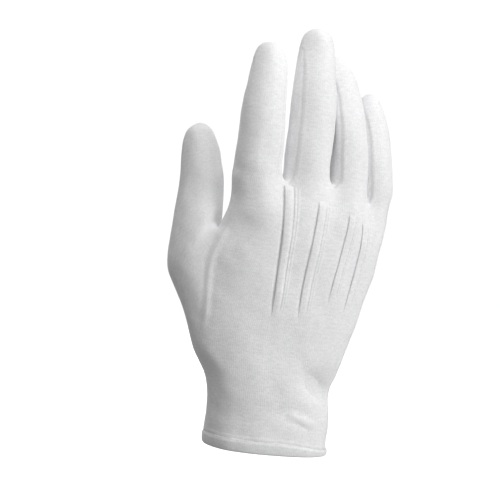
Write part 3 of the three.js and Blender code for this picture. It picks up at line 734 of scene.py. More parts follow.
def fold_relief(points, normals):
    """Each small fold is a bell of the distance from its straight line, on its own side of the hand."""
    high = np.zeros(len(points))
    for side, x1, z1, x2, z2, wide, height in FOLDS:
        start, along = np.array([x1, z1], float), np.array([x2 - x1, z2 - z1], float)
        offset = points[:, [0, 2]] - start
        share = np.clip(offset @ along / (along @ along), 0, 1)
        distance = np.linalg.norm(offset - share[:, None] * along, axis=1)
        facing = smooth(0, FOLD_FACING, side * normals[:, 1])
        fullness = 1 - FOLD_END_LOSS * np.abs(2 * share - 1) ** 3
        high += height * facing * bell(distance / wide) * fullness
    return high


def index_side(points, normals):
    """The index finger's outer side runs on straight from the hand's: the cloth is let out above the
    finger's root, between two smooth steps, and taken in below it by a bell."""
    x, y, z = points.T
    outer = np.clip(-OUTER_WRAP * normals[:, 0], 0, 1)
    outer = outer * smooth(*OUTER_SIDE, x) * (1 - smooth(*OUTER_DEPTH, y))
    let_out = LET_OUT * (smooth(*LET_OUT_GROWS, z) - smooth(*LET_OUT_GOES, z))
    return outer * (let_out - TAKEN_IN * bell((z - TAKEN_IN_AT) / TAKEN_IN_REACH))


def unevenness(points):
    """Worn cloth is never quite even: sine waves of three lengths, each in six seeded directions."""
    rng = np.random.default_rng(UNEVEN_SEED)
    total = np.zeros(len(points))
    for wavelength, high in UNEVENNESS:
        ways = unit(rng.normal(size=(WAVE_WAYS, 3))) * 2 * math.pi / wavelength
        starts = rng.uniform(0, 7, WAVE_WAYS)
        total += high * np.sin(points @ ways.T + starts).sum(axis=1) / math.sqrt(WAVE_WAYS)
    return total


def tuck_edge(tuck, z):
    """Where a tuck's steep side is at each height: a cubic through its table."""
    middle = np.mean(tuck["up"])
    curve = np.polyfit(np.array(tuck["up"]) - middle, tuck["edge"], 3)
    return np.polyval(curve, np.asarray(z, float) - middle)


def tuck_size(tuck, z):
    """A tuck is full in its middle and runs out at both ends, over a smooth step at each."""
    top, foot = tuck["up"][0], tuck["up"][-1]
    falling = smooth(top + TUCK_TOP_RUN[0], top + TUCK_TOP_RUN[1], z)
    return smooth(foot, foot + TUCK_FOOT_RUN, z) ** TUCK_FOOT_CURVE * (1 - falling)


def beside_tucks(points, normals, reach):
    """How much each point lies beside a tuck's steep side: the tuck's height times a bell of the distance."""
    total = np.zeros(len(points))
    for tuck in TUCKS:
        across = points[:, 0] - tuck_edge(tuck, points[:, 2])
        size = tuck["high"] * tuck_size(tuck, points[:, 2])
        total += size * bell((across - HOLLOW_MIDDLE) / reach) * np.clip(-normals[:, 1] * 2, 0, 1)
    return total


def seam_relief(seam, distance, pucker):
    """A seam's bells across it, and the puckers along it, which fade away from it."""
    bells = sum(height * bell((distance - middle) / reach) for height, middle, reach in seam["bells"])
    return bells + seam["pucker"] * pucker * np.exp(-distance / seam["fade"])


def seam_painted_shade(seam, distance):
    """How much painted shade darkens the cloth in a seam's groove: a bell of the distance from it."""
    dark, reach = seam["dark"]
    return dark * bell(distance / reach)


def cloth_relief(skin, tips, points, normals):
    """How far the cloth's outside stands out: folds, unevenness, a valley between two soft shoulders at
    each flat seam and a ridge at the thumb's, with small puckers along them. Also gives painted shade:
    how much each point is darkened in a seam's groove or a crease beside a tuck, from 0 to about 1."""
    thumb, hem = PIECES.index("thumb"), PIECES.index("wrist_hem")
    valley = skin.seam_distance(points, lambda high: (high != thumb) & (high != hem))
    ridge = skin.seam_distance(points, lambda high: high == thumb)
    hem_line = skin.seam_distance(points, lambda high: high == hem, HEM_SEAM_STEPS)
    x, _, z = points.T
    pucker = sum(share * np.sin(2 * math.pi * (z + slant * x) / wave) for share, wave, slant in PUCKERS)
    tip_distance = np.min([np.linalg.norm(points - tip, axis=1) for tip in tips], axis=0)
    off_tips = smooth(*PLAIN_TIP, tip_distance)
    on_thumb = smooth(*THUMB_SEAM_FOOT, z) * (1 - smooth(*THUMB_SEAM_TOP, z))
    high = fold_relief(points, normals) + index_side(points, normals) + unevenness(points)
    high -= HOLLOW_DEPTH * beside_tucks(points, normals, HOLLOW_REACH)
    high += seam_relief(FLAT_SEAM, valley, pucker) * off_tips
    high += seam_relief(THUMB_SEAM, ridge, pucker) * on_thumb
    high += seam_relief(HEM_SEAM, hem_line, pucker)
    above_hem = z > hem_height(x)
    # painted shade, darkest in the seams' grooves and in the creases beside the tucks
    dark = np.maximum(seam_painted_shade(FLAT_SEAM, valley) * off_tips, seam_painted_shade(HEM_SEAM, hem_line))
    return high * above_hem, np.maximum(dark, beside_tucks(points, normals, CREASE_SHADE_REACH))


# Meshes


def new_piece(name, points, faces, material, flat=None, values=None, hard=(), leading=None):
    """A mesh object at the origin, in metres. faces: arrays, each of faces with as many corners. flat: the
    corners' places on the pattern, or across and up where none is given. values: numbers at the points,
    by name. hard: which arrays are shaded flat. leading: normals for the first array's corners."""
    mesh = bpy.data.meshes.new(name)
    corners = np.concatenate([f.ravel() for f in faces])
    sizes = np.concatenate([np.full(len(f), f.shape[1]) for f in faces])
    starts = np.concatenate([[0], np.cumsum(sizes)[:-1]])
    mesh.vertices.add(len(points))
    mesh.vertices.foreach_set("co", (points * MM).astype(np.float32).ravel())
    mesh.loops.add(len(corners))
    mesh.loops.foreach_set("vertex_index", corners.astype(np.int32))
    mesh.polygons.add(len(sizes))
    mesh.polygons.foreach_set("loop_start", starts.astype(np.int32))
    mesh.update(calc_edges=True)
    rounded = np.concatenate([np.full(len(f), k not in hard) for k, f in enumerate(faces)])
    mesh.polygons.foreach_set("use_smooth", rounded)
    layer = mesh.uv_layers.new(name="Pattern")
    places = [points[corners][:, [0, 2]]] if flat is None else [f.reshape(-1, 2) for f in flat]
    layer.data.foreach_set("uv", np.concatenate(places).astype(np.float32).ravel())
    for key, numbers in (values or {}).items():
        layer = mesh.attributes.new(key, "FLOAT", "POINT")
        layer.data.foreach_set("value", numbers.astype(np.float32))
    mesh.validate()
    if leading is not None:
        normals = np.zeros((len(corners), 3))
        normals[: len(leading)] = leading
        mesh.normals_split_custom_set(normals.tolist())
    mesh.materials.append(material)
    piece = bpy.data.objects.new(name, mesh)
    bpy.context.scene.collection.objects.link(piece)
    return piece


def place(piece, node=None):
    """A piece rides on the glove's one body, and may stand for a node."""
    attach(piece, "root")
    if node:
        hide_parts(node)


def ring_faces(grid):
    """Four-sided faces between the closed rings of points that are a grid's rows."""
    ahead = np.roll(grid, -1, axis=1)
    return np.stack([grid[:-1], grid[1:], ahead[1:], ahead[:-1]], axis=2).reshape(-1, 4)


def facing_out(faces, points, centres):
    """Turns all faces round where the first array's, seen from the centres given for them, face inwards:
    where the volume that they span is negative."""
    a, b, c = (points[faces[0][:, k]] - centres for k in (0, 1, 2))
    volume = np.einsum("ij,ij->i", a, np.cross(b, c)).sum()
    return [f[:, ::-1] for f in faces] if volume < 0 else faces


def inset(skin, points, normals, own):
    """Draws the points on a piece's border in by half the seam's gap, in the cloth and square to the
    border."""
    faces, at_border = skin.faces[own], skin.at_border(own)
    a, b = faces[at_border], np.roll(faces, -1, axis=1)[at_border]
    inward = unit(np.cross(normals[a] + normals[b], points[b] - points[a]))
    total = skin.gather(np.concatenate([a, b]), np.concatenate([inward, inward]))
    return points + unit(total) * (SEAM_GAP / 2)


def cloth_wall(name, coarse, fine, outside, inside, normals, seam, material):
    """A closed wall on one piece of the skin: fine faces outside, coarse ones turned round inside, and rims
    of five corners that join three fine points to two coarse ones. The outside is shaded with the whole
    skin's normals, so that it runs on over the seams."""
    index, count = PIECES.index(name), len(coarse.points)
    own, own_coarse = fine.pieces == index, coarse.pieces == index
    outer, inner = fine.faces[own], coarse.faces[own_coarse]
    moved_out = inset(fine, outside, normals, own)
    moved_in = inset(coarse, inside[:count], normals[:count], own_coarse)
    used_out, out_ids = np.unique(outer.ravel(), return_inverse=True)
    used_in, in_ids = np.unique(inner.ravel(), return_inverse=True)
    out_place, in_place = np.full(len(fine.points), -1), np.full(count, -1)
    out_place[used_out] = np.arange(len(used_out))
    in_place[used_in] = len(used_out) + np.arange(len(used_in))

    at_border = coarse.at_border(own_coarse)
    a, b = inner[at_border], np.roll(inner, -1, axis=1)[at_border]
    between = count + len(coarse.faces) + coarse.face_edges[own_coarse][at_border]
    rims = np.stack([out_place[b], out_place[between], out_place[a], in_place[a], in_place[b]], axis=1)

    flat_in = coarse.flat[own_coarse]
    flat_a, flat_b = flat_in[at_border], np.roll(flat_in, -1, axis=1)[at_border]
    flat_rims = np.stack([flat_b, (flat_a + flat_b) / 2, flat_a, flat_a, flat_b], axis=1)
    points = np.concatenate([moved_out[used_out], moved_in[used_in]])
    faces = [out_ids.reshape(-1, 4), len(used_out) + in_ids.reshape(-1, 4)[:, ::-1], rims]
    # the painted shade of the seams' grooves and the tucks' creases rides along as the seam attribute
    seams = np.concatenate([seam[used_out], np.zeros(len(used_in))])
    flat = [fine.flat[own], flat_in[:, ::-1], flat_rims]
    leading = fine.normals(outside)[outer.ravel()]
    piece = new_piece(name + "_knit", points, faces, material, flat, {"seam": seams}, (2,), leading)
    place(piece, name)


def hem_faces(points):
    """The turned-up hem: its two faces lie half a thickness to either side of a middle line that swells out
    halfway up. They close round its lower edge as a half circle and are drawn in at its top."""
    x, _, z = points.T
    level = np.clip(z / hem_height(x), 0, 1)
    middle = HEM_SWELL * np.sin(math.pi * level) + HEM_SET
    rounded = np.clip(z / HEM_EDGE, 0, 1)
    half = HEM_THICKNESS / 2 * np.sqrt(np.clip(1 - (1 - rounded) ** 2, 0.02, 1))
    waves = sum(high * np.sin(x * turn + start) for high, turn, start in HEM_WAVES)
    top = HEM_TOP_DRAW * smooth(HEM_TOP_FROM, 1, level)
    return middle + half - top + waves * level, middle - half + HEM_TOP_INSIDE * top


# The tucks and the stitches


class BackOfHand:
    """The back's outside as a height field: at each knot of a grid, the plane that best fits the points
    near it, with a faint weight on those further off, for knots that have none near."""

    def __init__(self, points, x_range=(-22, 52), z_range=(66, 152), step=1.0, reach=1.1):
        self.low = np.array([x_range[0], z_range[0]], float)
        self.step = step
        xs, zs = np.arange(*x_range, step), np.arange(*z_range, step)
        self.y = np.zeros((len(xs), len(zs)))
        self.slope = np.zeros((len(xs), len(zs), 2))
        for k, z in enumerate(zs):
            near = points[np.abs(points[:, 2] - z) < 3 * reach]
            dx, dz = near[None, :, 0] - xs[:, None], near[None, :, 2] - z
            dz = np.broadcast_to(dz, dx.shape)
            weight = bell(dx / reach) * bell(dz / reach) + 1e-9 * bell(dx / 40)
            y = np.broadcast_to(near[None, :, 1], dx.shape)
            terms = (np.ones_like(dx), dx, dz)
            left = np.stack([np.stack([(weight * p * q).sum(1) for q in terms], 1) for p in terms], 1)
            right = np.stack([(weight * p * y).sum(1) for p in terms], 1)
            fit = np.linalg.solve(left + 1e-9 * np.eye(3), right[..., None])[..., 0]
            self.y[:, k], self.slope[:, k] = fit[:, 0], fit[:, 1:]

    def at(self, x, z):
        """The point of the back at x and z and its normal, straight between the grid's knots."""
        x, z = np.broadcast_arrays(np.asarray(x, float), np.asarray(z, float))
        u, v = (x - self.low[0]) / self.step, (z - self.low[1]) / self.step
        i = np.clip(np.floor(u).astype(int), 0, self.y.shape[0] - 2)
        j = np.clip(np.floor(v).astype(int), 0, self.y.shape[1] - 2)
        s, t = (u - i)[..., None], (v - j)[..., None]
        field = np.concatenate([self.y[..., None], self.slope], axis=-1)
        low = field[i, j] * (1 - s) + field[i + 1, j] * s
        high = field[i, j + 1] * (1 - s) + field[i + 1, j + 1] * s
        y, dx, dz = np.moveaxis(low * (1 - t) + high * t, -1, 0)
        return np.stack([x, y, z], axis=-1), unit(np.stack([dx, -np.ones_like(y), dz], axis=-1))


def tuck_places(tuck, back, z, across, up):
    """A tuck's surface: on the back, a share of its width to the right of its steep edge, and a share of its
    height out along the normal. Towards both ends it sinks into the cloth."""
    size = tuck_size(tuck, z)
    share = (z - tuck["up"][-1]) / (tuck["up"][0] - tuck["up"][-1])
    width = tuck["wide"][1] + (tuck["wide"][0] - tuck["wide"][1]) * share
    spots, normals = back.at(tuck_edge(tuck, z) + across * width, z)
    out = np.where(up > 0, up * size, up) * tuck["high"] - TUCK_SINK * (1 - size)
    high, wave, middle, reach = TUCK_WOBBLE
    wobble = high * np.sin(2 * math.pi * z / wave) * bell((across - middle) / reach)
    return spots + normals * (out + wobble * size)[..., None], normals


def hem_stitches(skin, outside, normals, material):
    """One row of stitches round the top of the hem. The skin's points near its level are put in order of
    angle round the wrist, and the row is spaced evenly along the line through them."""
    own = np.unique(skin.faces[skin.pieces == PIECES.index("wrist_hem")])
    level = outside[own, 2] / hem_height(outside[own, 0])
    own = own[np.abs(level - HEM_STITCH_LEVEL) < HEM_STITCH_BAND]
    angle = np.arctan2(outside[own, 1], outside[own, 0])
    sample = np.linspace(-math.pi, math.pi, WRIST_STEPS)

    def on_ring(at, angles, values):
        return np.stack([np.interp(at, angles, column, period=2 * math.pi) for column in values.T], axis=1)

    line = on_ring(sample, angle, outside[own])
    length = np.concatenate([[0], np.cumsum(np.linalg.norm(np.diff(line, axis=0), axis=1))])
    count = int(length[-1] / HEM_STITCH["every"])
    at = np.interp((np.arange(count) + 0.5) / count * length[-1], length, sample)
    centres = on_ring(at, angle, outside[own])
    out = unit(on_ring(at, angle, normals[own]))
    ahead, behind = (on_ring(at + turn, sample[:-1], line[:-1]) for turn in (WRIST_TURN, -WRIST_TURN))
    capsules("wrist_hem_stitches", centres, unit(ahead - behind), out, HEM_STITCH, material)


def build_tuck(tuck, back, material):
    """A tuck's section is carried down its line; the section closes under the cloth, and so do both
    ends."""
    z = np.linspace(tuck["up"][0] + TUCK_SPARE, tuck["up"][-1] - TUCK_SPARE, TUCK_RINGS)[:, None]
    knots = np.linspace(0, len(TUCK_SECTION) - 1, TUCK_RING_POINTS)
    across, up = eased(knots, TUCK_ACROSS), eased(knots, TUCK_UP)
    across = np.concatenate([across, across[-1:] - TUCK_CLOSE, across[:1] + TUCK_CLOSE])
    up = np.concatenate([up, [TUCK_BOTTOM, TUCK_BOTTOM]])
    rows, _ = tuck_places(tuck, back, z, across, up)
    points = rows.reshape(-1, 3)
    grid = np.arange(len(points)).reshape(rows.shape[:2])
    faces = [ring_faces(grid)[:, [0, 3, 2, 1]], grid[:1, ::-1], grid[-1:]]
    faces = facing_out(faces, points, points.mean(axis=0))
    # painted shade in the grooves of the two stitch rows
    seam = sum(dark * bell((across - row) / STITCH_GROOVE) for row, dark in zip(STITCH_ROWS, STITCH_PAINTED_SHADE))
    values = {"seam": np.broadcast_to(seam, grid.shape).ravel()}
    place(new_piece(tuck["node"] + "_tuck", points, faces, material, values=values), tuck["node"])


def eased(at, values):
    """Values between a table's rows, by a Catmull-Rom spline."""
    values = np.asarray(values, float)
    last = len(values) - 1
    i = np.clip(np.floor(at).astype(int), 0, last - 1)
    t = at - i
    p0, p1 = values[np.maximum(i - 1, 0)], values[i]
    p2, p3 = values[i + 1], values[np.minimum(i + 2, last)]
    cubic = (2 * p0 - 5 * p1 + 4 * p2 - p3) * t**2 + (3 * p1 - p0 - 3 * p2 + p3) * t**3
    return p1 + ((p2 - p0) * t + cubic) / 2


def capsules(name, centres, along, out, stitch, material):
    """Many small stitches as one mesh, each a capsule: rings of points carried along a line that is bowed a
    little. A ring's radius is the full one times the root of 1 - s^4, s its share of the way to an end."""
    share = np.linspace(-1, 1, CAPSULE_RINGS)
    radius = stitch["thick"] / 2 * np.sqrt(np.clip(1 - share**4, 0.03, 1))
    angle = np.arange(CAPSULE_SIDES) / CAPSULE_SIDES * 2 * math.pi
    across = unit(np.cross(along, out))
    line = centres[:, None] + along[:, None] * (share * stitch["long"] / 2)[None, :, None]
    line = line - out[:, None] * (STITCH_BOW * stitch["thick"] * share**2)[None, :, None]
    spokes = across[:, None] * np.cos(angle)[None, :, None] + out[:, None] * np.sin(angle)[None, :, None]
    points = (line[:, :, None] + spokes[:, None] * radius[None, :, None, None]).reshape(-1, 3)
    grid = np.arange(CAPSULE_RINGS * CAPSULE_SIDES).reshape(CAPSULE_RINGS, CAPSULE_SIDES)
    first = (np.arange(len(centres)) * grid.size)[:, None]
    quads = ring_faces(grid)
    walls = (first + quads.reshape(1, -1)).reshape(-1, 4)
    caps = np.concatenate([first + grid[0], first + grid[-1][::-1]])
    faces = facing_out([walls, caps], points, np.repeat(centres, len(quads), axis=0))
    place(new_piece(name, points, faces, material, values={"seam": np.zeros(len(points))}))


def tuck_stitches(tuck, back, material):
    """Two rows of short stitches down a tuck, sunk in its grooves."""
    z = np.arange(tuck["up"][-1] + STITCH_ENDS[0], tuck["up"][0] - STITCH_ENDS[1], TUCK_STITCH["every"])
    spots = []
    for row, lift in zip(STITCH_ROWS, STITCH_LIFTS):
        knot = np.interp(row, TUCK_ACROSS[TUCK_RIDGE:], np.arange(TUCK_RIDGE, len(TUCK_SECTION)))
        across, up = np.full(len(z), row), np.full(len(z), eased(knot, TUCK_UP))
        here, out = tuck_places(tuck, back, z, across, up)
        ahead, _ = tuck_places(tuck, back, z + 0.5, across, up)
        spots.append((here + out * lift, unit(ahead - here), out))
    centres, along, out = (np.concatenate(part) for part in zip(*spots))
    capsules(tuck["node"] + "_stitches", centres, along, out, TUCK_STITCH, material)


# Materials


# What changes the cloth's white, with painted shade in the knit's gaps and in seams and creases, and
# what its bump is made of: each effect, its usual value and weight
SHADES = [
    ("Gap", 0, -0.045), ("Grain", 0.5, 0.26), ("Specks", 0.5, 0.24), ("Patches", 0.5, 0.05),
    ("Seam", 0, -0.07),
]
RELIEFS = [("Height", 0, 0.55), ("Fuzz", 0, 0.3), ("Grain", 0, 0.9), ("Specks", 0, 1.0)]
BUMP = 0.55
SHEEN, SHEEN_ROUGHNESS, SPECULAR = 0.25, 0.45, 0.25
ROUGHNESS, FUZZ_ROUGHNESS = 0.84, 0.12
YARN_STRETCH = (0.3, 1.0, 1.0)  # specks are drawn out along the courses

# The yarn's noises: scale, for each mm of the pattern for the specks and each metre for the others,
# then detail and roughness
YARN_NOISES = {
    "Specks": (0.85, 3.0, 0.6),
    "Grain": (950.0, 2.0, 0.6),
    "Patches": (55.0, 2.0, 0.5),
    "Fuzz": (2400.0, 2.0, 0.7),
}
COLUMN_BEND, COLUMN_WANDER = 0.22, 1.6  # scale of the noise that bends the columns, and how far, in mm
COLUMN_FULLNESS, LOOP_RELIEF = 0.7, 0.12


class Wiring:
    """Adds nodes to one tree. A socket given as an input is linked, and anything else is its value."""

    def __init__(self, tree):
        self.tree = tree

    def node(self, kind, inputs=None, **settings):
        node = self.tree.nodes.new(kind)
        for key, value in settings.items():
            setattr(node, key, value)
        for key, value in (inputs or {}).items():
            if isinstance(value, bpy.types.NodeSocket):
                self.tree.links.new(value, node.inputs[key])
            else:
                node.inputs[key].default_value = value
        return node

    def math(self, operation, a, b=0.0, c=0.0, clamp=False):
        inputs = {0: a, 1: b, 2: c}
        return self.node("ShaderNodeMath", inputs, operation=operation, use_clamp=clamp).outputs[0]

    def noise(self, vector, scale, detail=2.0, roughness=0.5):
        inputs = {"Vector": vector, "Scale": scale, "Detail": detail, "Roughness": roughness}
        return self.node("ShaderNodeTexNoise", inputs).outputs[0]

    def weighted(self, sockets, rows, level):
        """A level plus each row's weight times how far its socket is from its usual value."""
        total = level - sum(usual * weight for _, usual, weight in rows)
        for name, _, weight in rows:
            total = self.math("MULTIPLY_ADD", sockets[name], weight, total)
        return total

    def give(self, made, **sockets):
        """Links each named socket to a group's output of that name."""
        for name, socket in sockets.items():
            self.tree.links.new(socket, made.inputs[name])


def group(name, inputs, outputs):
    """A shader node group: inputs are vectors, or numbers where a default is given, and outputs numbers.
    Gives its wiring and its input and output nodes."""
    tree = bpy.data.node_groups.new(name, "ShaderNodeTree")
    for socket, value in inputs.items():
        kind = "NodeSocketVector" if value is None else "NodeSocketFloat"
        made = tree.interface.new_socket(socket, in_out="INPUT", socket_type=kind)
        if value is not None:
            made.default_value = value
    for socket in outputs:
        tree.interface.new_socket(socket, in_out="OUTPUT", socket_type="NodeSocketFloat")
    w = Wiring(tree)
    return w, w.node("NodeGroupInput"), w.node("NodeGroupOutput")


def knit_group():
    """Jersey knit: columns of V-shaped loops. A column's height is the sine of its width's share, and along
    it each course is a sine whose start slants up from both of the column's edges to its middle."""
    w, given, made = group("jersey_knit", {"Pattern": None, "Wale": 1.1, "Course": 0.9}, ["Height", "Gap"])
    bend = w.noise(given.outputs["Pattern"], COLUMN_BEND, 1.0)
    parts = w.node("ShaderNodeSeparateXYZ", {0: given.outputs["Pattern"]})
    wander = w.math("MULTIPLY", w.math("SUBTRACT", bend, 0.5), COLUMN_WANDER)
    column = w.math("DIVIDE", w.math("ADD", parts.outputs[0], wander), given.outputs["Wale"])
    share = w.math("FRACT", column)
    hump = w.math("SINE", w.math("MULTIPLY", share, math.pi))
    slant = w.math("ABSOLUTE", w.math("SUBTRACT", share, 0.5))
    course = w.math("DIVIDE", parts.outputs[1], given.outputs["Course"])
    wave = w.math("SINE", w.math("MULTIPLY", w.math("ADD", course, slant), 2 * math.pi))
    loops = w.math("MULTIPLY_ADD", wave, LOOP_RELIEF, 1 - LOOP_RELIEF)
    height = w.math("MULTIPLY", w.math("POWER", hump, COLUMN_FULLNESS), loops)
    # Gap: the hollows between the loops, which the cotton darkens as painted shade
    w.give(made, Height=height, Gap=w.math("SUBTRACT", 1.0, height, clamp=True))
    return w.tree


def yarn_group():
    """Uneven yarn: soft specks stretched along the courses, a grain as fine as the loops, broad patches, and
    fuzz."""
    w, given, made = group("uneven_yarn", {"Pattern": None, "Place": None}, list(YARN_NOISES))
    stretched = {0: given.outputs["Pattern"], 1: YARN_STRETCH}
    along_courses = w.node("ShaderNodeVectorMath", stretched, operation="MULTIPLY").outputs[0]
    for name, row in YARN_NOISES.items():
        vector = along_courses if name == "Specks" else given.outputs["Place"]
        w.give(made, **{name: w.noise(vector, *row)})
    return w.tree


def cotton(name, knit, yarn, colour, wale, relief):
    """White cotton knit. Painted shade makes the gaps between loops and the grooves of seams, stitch rows and
    tuck creases a little darker, and grain, specks and patches vary the white by a few hundredths. relief:
    the bump's height in mm."""
    material = bpy.data.materials.new(name)
    material.use_nodes = True
    material.node_tree.nodes.clear()
    w = Wiring(material.node_tree)
    pattern = w.node("ShaderNodeUVMap", uv_map="Pattern").outputs[0]
    where = w.node("ShaderNodeTexCoord").outputs["Object"]
    # painted shade of the seams' grooves, the stitch grooves and the tucks' creases, read from the seam
    # attribute
    seam = w.node("ShaderNodeAttribute", attribute_name="seam").outputs["Fac"]
    knitted = w.node("ShaderNodeGroup", {"Pattern": pattern, "Wale": wale}, node_tree=knit)
    uneven = w.node("ShaderNodeGroup", {"Pattern": pattern, "Place": where}, node_tree=yarn)
    effects = {socket.name: socket for socket in (*knitted.outputs, *uneven.outputs)}
    effects["Seam"] = seam
    shade = w.weighted(effects, SHADES, 1.0)
    base = w.node("ShaderNodeVectorMath", {0: colour, 3: shade}, operation="SCALE").outputs[0]
    height = w.weighted(effects, RELIEFS, 0.0)
    bump = w.node("ShaderNodeBump", {"Strength": BUMP, "Distance": relief * MM, "Height": height})
    rough = w.math("MULTIPLY_ADD", effects["Fuzz"], FUZZ_ROUGHNESS, ROUGHNESS, clamp=True)
    finish = {
        "Base Color": base,
        "Roughness": rough,
        "Normal": bump.outputs[0],
        "Sheen Weight": SHEEN,
        "Sheen Roughness": SHEEN_ROUGHNESS,
        "Sheen Tint": (1.0, 1.0, 1.0, 1.0),
        "Specular IOR Level": SPECULAR,
    }
    shader = w.node("ShaderNodeBsdfPrincipled", finish)
    w.node("ShaderNodeOutputMaterial", {"Surface": shader.outputs[0]}, is_active_output=True)
    return material


def plain(name, colour, glow):
    """A matt white with a little light of its own, for the floor and the backdrop."""
    material = bpy.data.materials.new(name)
    material.use_nodes = True
    shader = material.node_tree.nodes["Principled BSDF"]
    finish = {"Base Color": colour, "Roughness": 0.9}
    finish.update({"Emission Color": (1, 1, 1, 1), "Emission Strength": glow})
    for socket, value in finish.items():
        shader.inputs[socket].default_value = value
    return material


# Stage, light and camera

VIEW_AZIMUTH = -20.0
VIEW_ELEVATION = 4.0
VIEW_ROLL = 8.0
VIEW_DISTANCE = 1.0
VIEW_AIM = (0, 0, 0.118)
VIEW_SHIFT = (-0.0235, -0.0077)
VIEW_LENS = 128
VIEW_SENSOR = 36

# The lamps: how far to the view's right, up and back from the glove, and how wide, in metres; and power
LAMPS = {
    "key": (1.09, 0.34, 0.63, 0.6, 6.0),
    "side": (1.22, 0.45, 0.0, 0.6, 0.9),
    "front": (0.1, -0.1, 1.3, 0.6, 0.5),
    "low": (0.35, -0.1, 0.15, 0.3, 0.3),
    "high": (0.07, 0.38, 0.3, 0.3, 0.64),
    "high_left": (-0.2, 0.42, 0.2, 0.3, 0.42),
    "above": (0.0, 0.35, -0.1, 0.3, 0.3),
    "back": (-0.5, 0.2, -1.1, 0.8, 6.0),
}
LAMP_AIM = (0, 0, 0.12)
ROOM_LIGHT = 0.245

# The floor, in metres: its flat part, the curve up into the backdrop, the backdrop's top and its level
FLOOR_RADIUS, FLOOR_CURVE, WALL_TOP, FLOOR_LEVEL = 2.2, 0.8, 2.4, -0.09
FLOOR_SIDES = 96


def view_axes():
    """The view's own right, up and back directions in the glove's frame."""
    a, e = math.radians(VIEW_AZIMUTH), math.radians(VIEW_ELEVATION)
    right = Vector((math.cos(a), math.sin(a), 0))
    back = Vector((math.sin(a) * math.cos(e), -math.cos(a) * math.cos(e), math.sin(e)))
    return right, back.cross(right), back


def build_camera():
    right, up, back = view_axes()
    roll = math.radians(VIEW_ROLL)
    x = right * math.cos(roll) + up * math.sin(roll)
    y = up * math.cos(roll) - right * math.sin(roll)
    aim = Vector(VIEW_AIM) + right * VIEW_SHIFT[0] + up * VIEW_SHIFT[1]
    data = bpy.data.cameras.new("camera")
    data.sensor_width = VIEW_SENSOR
    data.lens = VIEW_LENS
    camera = bpy.data.objects.new("camera", data)
    turn = Matrix((x, y, back)).transposed().to_4x4()
    camera.matrix_world = Matrix.Translation(aim + back * VIEW_DISTANCE) @ turn
    bpy.context.scene.collection.objects.link(camera)
    bpy.context.scene.camera = camera


def soft_light(name, right, up, back, size, power):
    """A square lamp that faces the glove, placed along the view's right, up and back directions."""
    aim = Vector(LAMP_AIM)
    data = bpy.data.lights.new(name, "AREA")
    data.size = size
    data.energy = power
    lamp = bpy.data.objects.new(name, data)
    view_right, view_up, view_back = view_axes()
    lamp.location = aim + view_right * right + view_up * up + view_back * back
    lamp.visible_camera = False
    lamp.rotation_mode = "QUATERNION"
    lamp.rotation_quaternion = (lamp.location - aim).to_track_quat("Z", "Y")
    bpy.context.scene.collection.objects.link(lamp)


def build_stage():
    """A wide floor that curves up into a backdrop all round: a disc whose rim turns up as a quarter
    circle."""
    bend = np.linspace(0, math.pi / 2, 16)
    r = np.concatenate([[0.5, 1.2], FLOOR_RADIUS + FLOOR_CURVE * np.sin(bend), [FLOOR_RADIUS + FLOOR_CURVE]])
    z = np.concatenate([[0.0, 0.0], FLOOR_CURVE * (1 - np.cos(bend)), [WALL_TOP]]) + FLOOR_LEVEL
    angle = np.linspace(0, 2 * math.pi, FLOOR_SIDES, endpoint=False)
    level = np.repeat(z[:, None], FLOOR_SIDES, axis=1)
    rings = np.stack([np.outer(r, np.cos(angle)), np.outer(r, np.sin(angle)), level], axis=2)
    points = np.concatenate([[[0, 0, FLOOR_LEVEL]], rings.reshape(-1, 3)])
    grid = 1 + np.arange(len(points) - 1).reshape(-1, FLOOR_SIDES)
    middle = np.stack([np.zeros(FLOOR_SIDES, int), grid[0], np.roll(grid[0], -1)], axis=1)
    material = plain("white_paper", (0.9, 0.9, 0.9, 1), 0.8)
    floor = new_piece("studio_floor", points / MM, [middle, ring_faces(grid)], material)
    floor.visible_diffuse = floor.visible_glossy = False


def build_light():
    """Large soft lamps on the right and behind, near ones over the fingers and beside the wrist, and a pale
    room."""
    for name, row in LAMPS.items():
        soft_light(name, *row)
    world = bpy.data.worlds.new("room")
    world.use_nodes = True
    sky = world.node_tree.nodes["Background"]
    sky.inputs["Color"].default_value = (1, 1, 1, 1)
    sky.inputs["Strength"].default_value = ROOM_LIGHT
    bpy.context.scene.world = world
    bpy.context.scene.view_settings.view_transform = "Standard"


# The glove


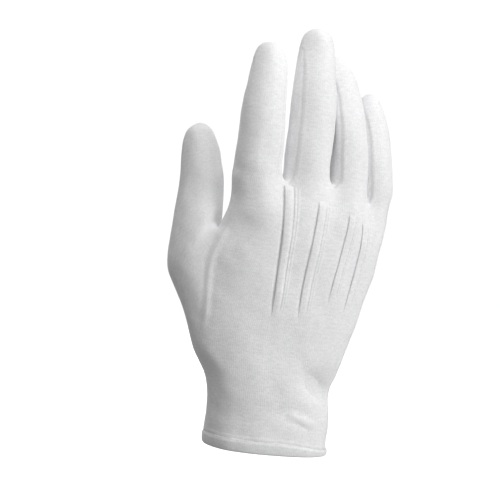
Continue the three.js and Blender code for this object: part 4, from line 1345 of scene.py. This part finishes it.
# Finishes: colour, width of a column of loops and height of the bump, in mm
CLOTH_FINISH = ((0.9, 0.9, 0.907), 1.1, 0.14)
THREAD_FINISH = ((0.92, 0.92, 0.925), 0.3, 0.05)
BACK_FACING = -0.05  # the normals' Y is below this where the cloth can carry a tuck
FINGERS_FROM = 154  # the height at which the fingers begin


def build_glove():
    """The seven sewn pieces are cut from one skin, and the tucks are laid on the back."""
    knit, yarn = knit_group(), yarn_group()
    cloth = cotton("white_cotton_knit", knit, yarn, *CLOTH_FINISH)
    thread = cotton("white_thread", knit, yarn, *THREAD_FINISH)

    coarse, fine, tips = build_skin()
    points = fine.limit()
    points = dented(points, fine.normals(points))
    normals = fine.normals(points)
    relief, seam = cloth_relief(fine, tips, points, normals)
    outside = points + normals * relief[:, None]
    inside = points - normals * CLOTH
    for name in PIECES:
        if name != "wrist_hem":
            cloth_wall(name, coarse, fine, outside, inside, normals, seam, cloth)
    hem_outside, hem_inside = (points + normals * out[:, None] for out in hem_faces(points))
    cloth_wall("wrist_hem", coarse, fine, hem_outside, hem_inside, normals, seam, cloth)
    hem_stitches(fine, hem_outside, normals, thread)

    used = np.unique(fine.faces[fine.pieces == PIECES.index("back_panel")])
    used = used[(normals[used, 1] < BACK_FACING) & (points[used, 2] < FINGERS_FROM)]
    back = BackOfHand(outside[used])
    for tuck in TUCKS:
        build_tuck(tuck, back, cloth)
        tuck_stitches(tuck, back, thread)


def corners(box):
    """A box's two corners as plain lists."""
    return [list(corner) for corner in box]


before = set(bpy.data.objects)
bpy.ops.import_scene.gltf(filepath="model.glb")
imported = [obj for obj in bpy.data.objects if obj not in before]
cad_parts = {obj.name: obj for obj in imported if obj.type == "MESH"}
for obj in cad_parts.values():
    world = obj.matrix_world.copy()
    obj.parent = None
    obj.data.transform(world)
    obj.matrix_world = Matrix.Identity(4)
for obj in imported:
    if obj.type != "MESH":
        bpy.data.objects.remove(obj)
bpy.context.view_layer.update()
build_glove()
build_stage()
build_light()
build_camera()
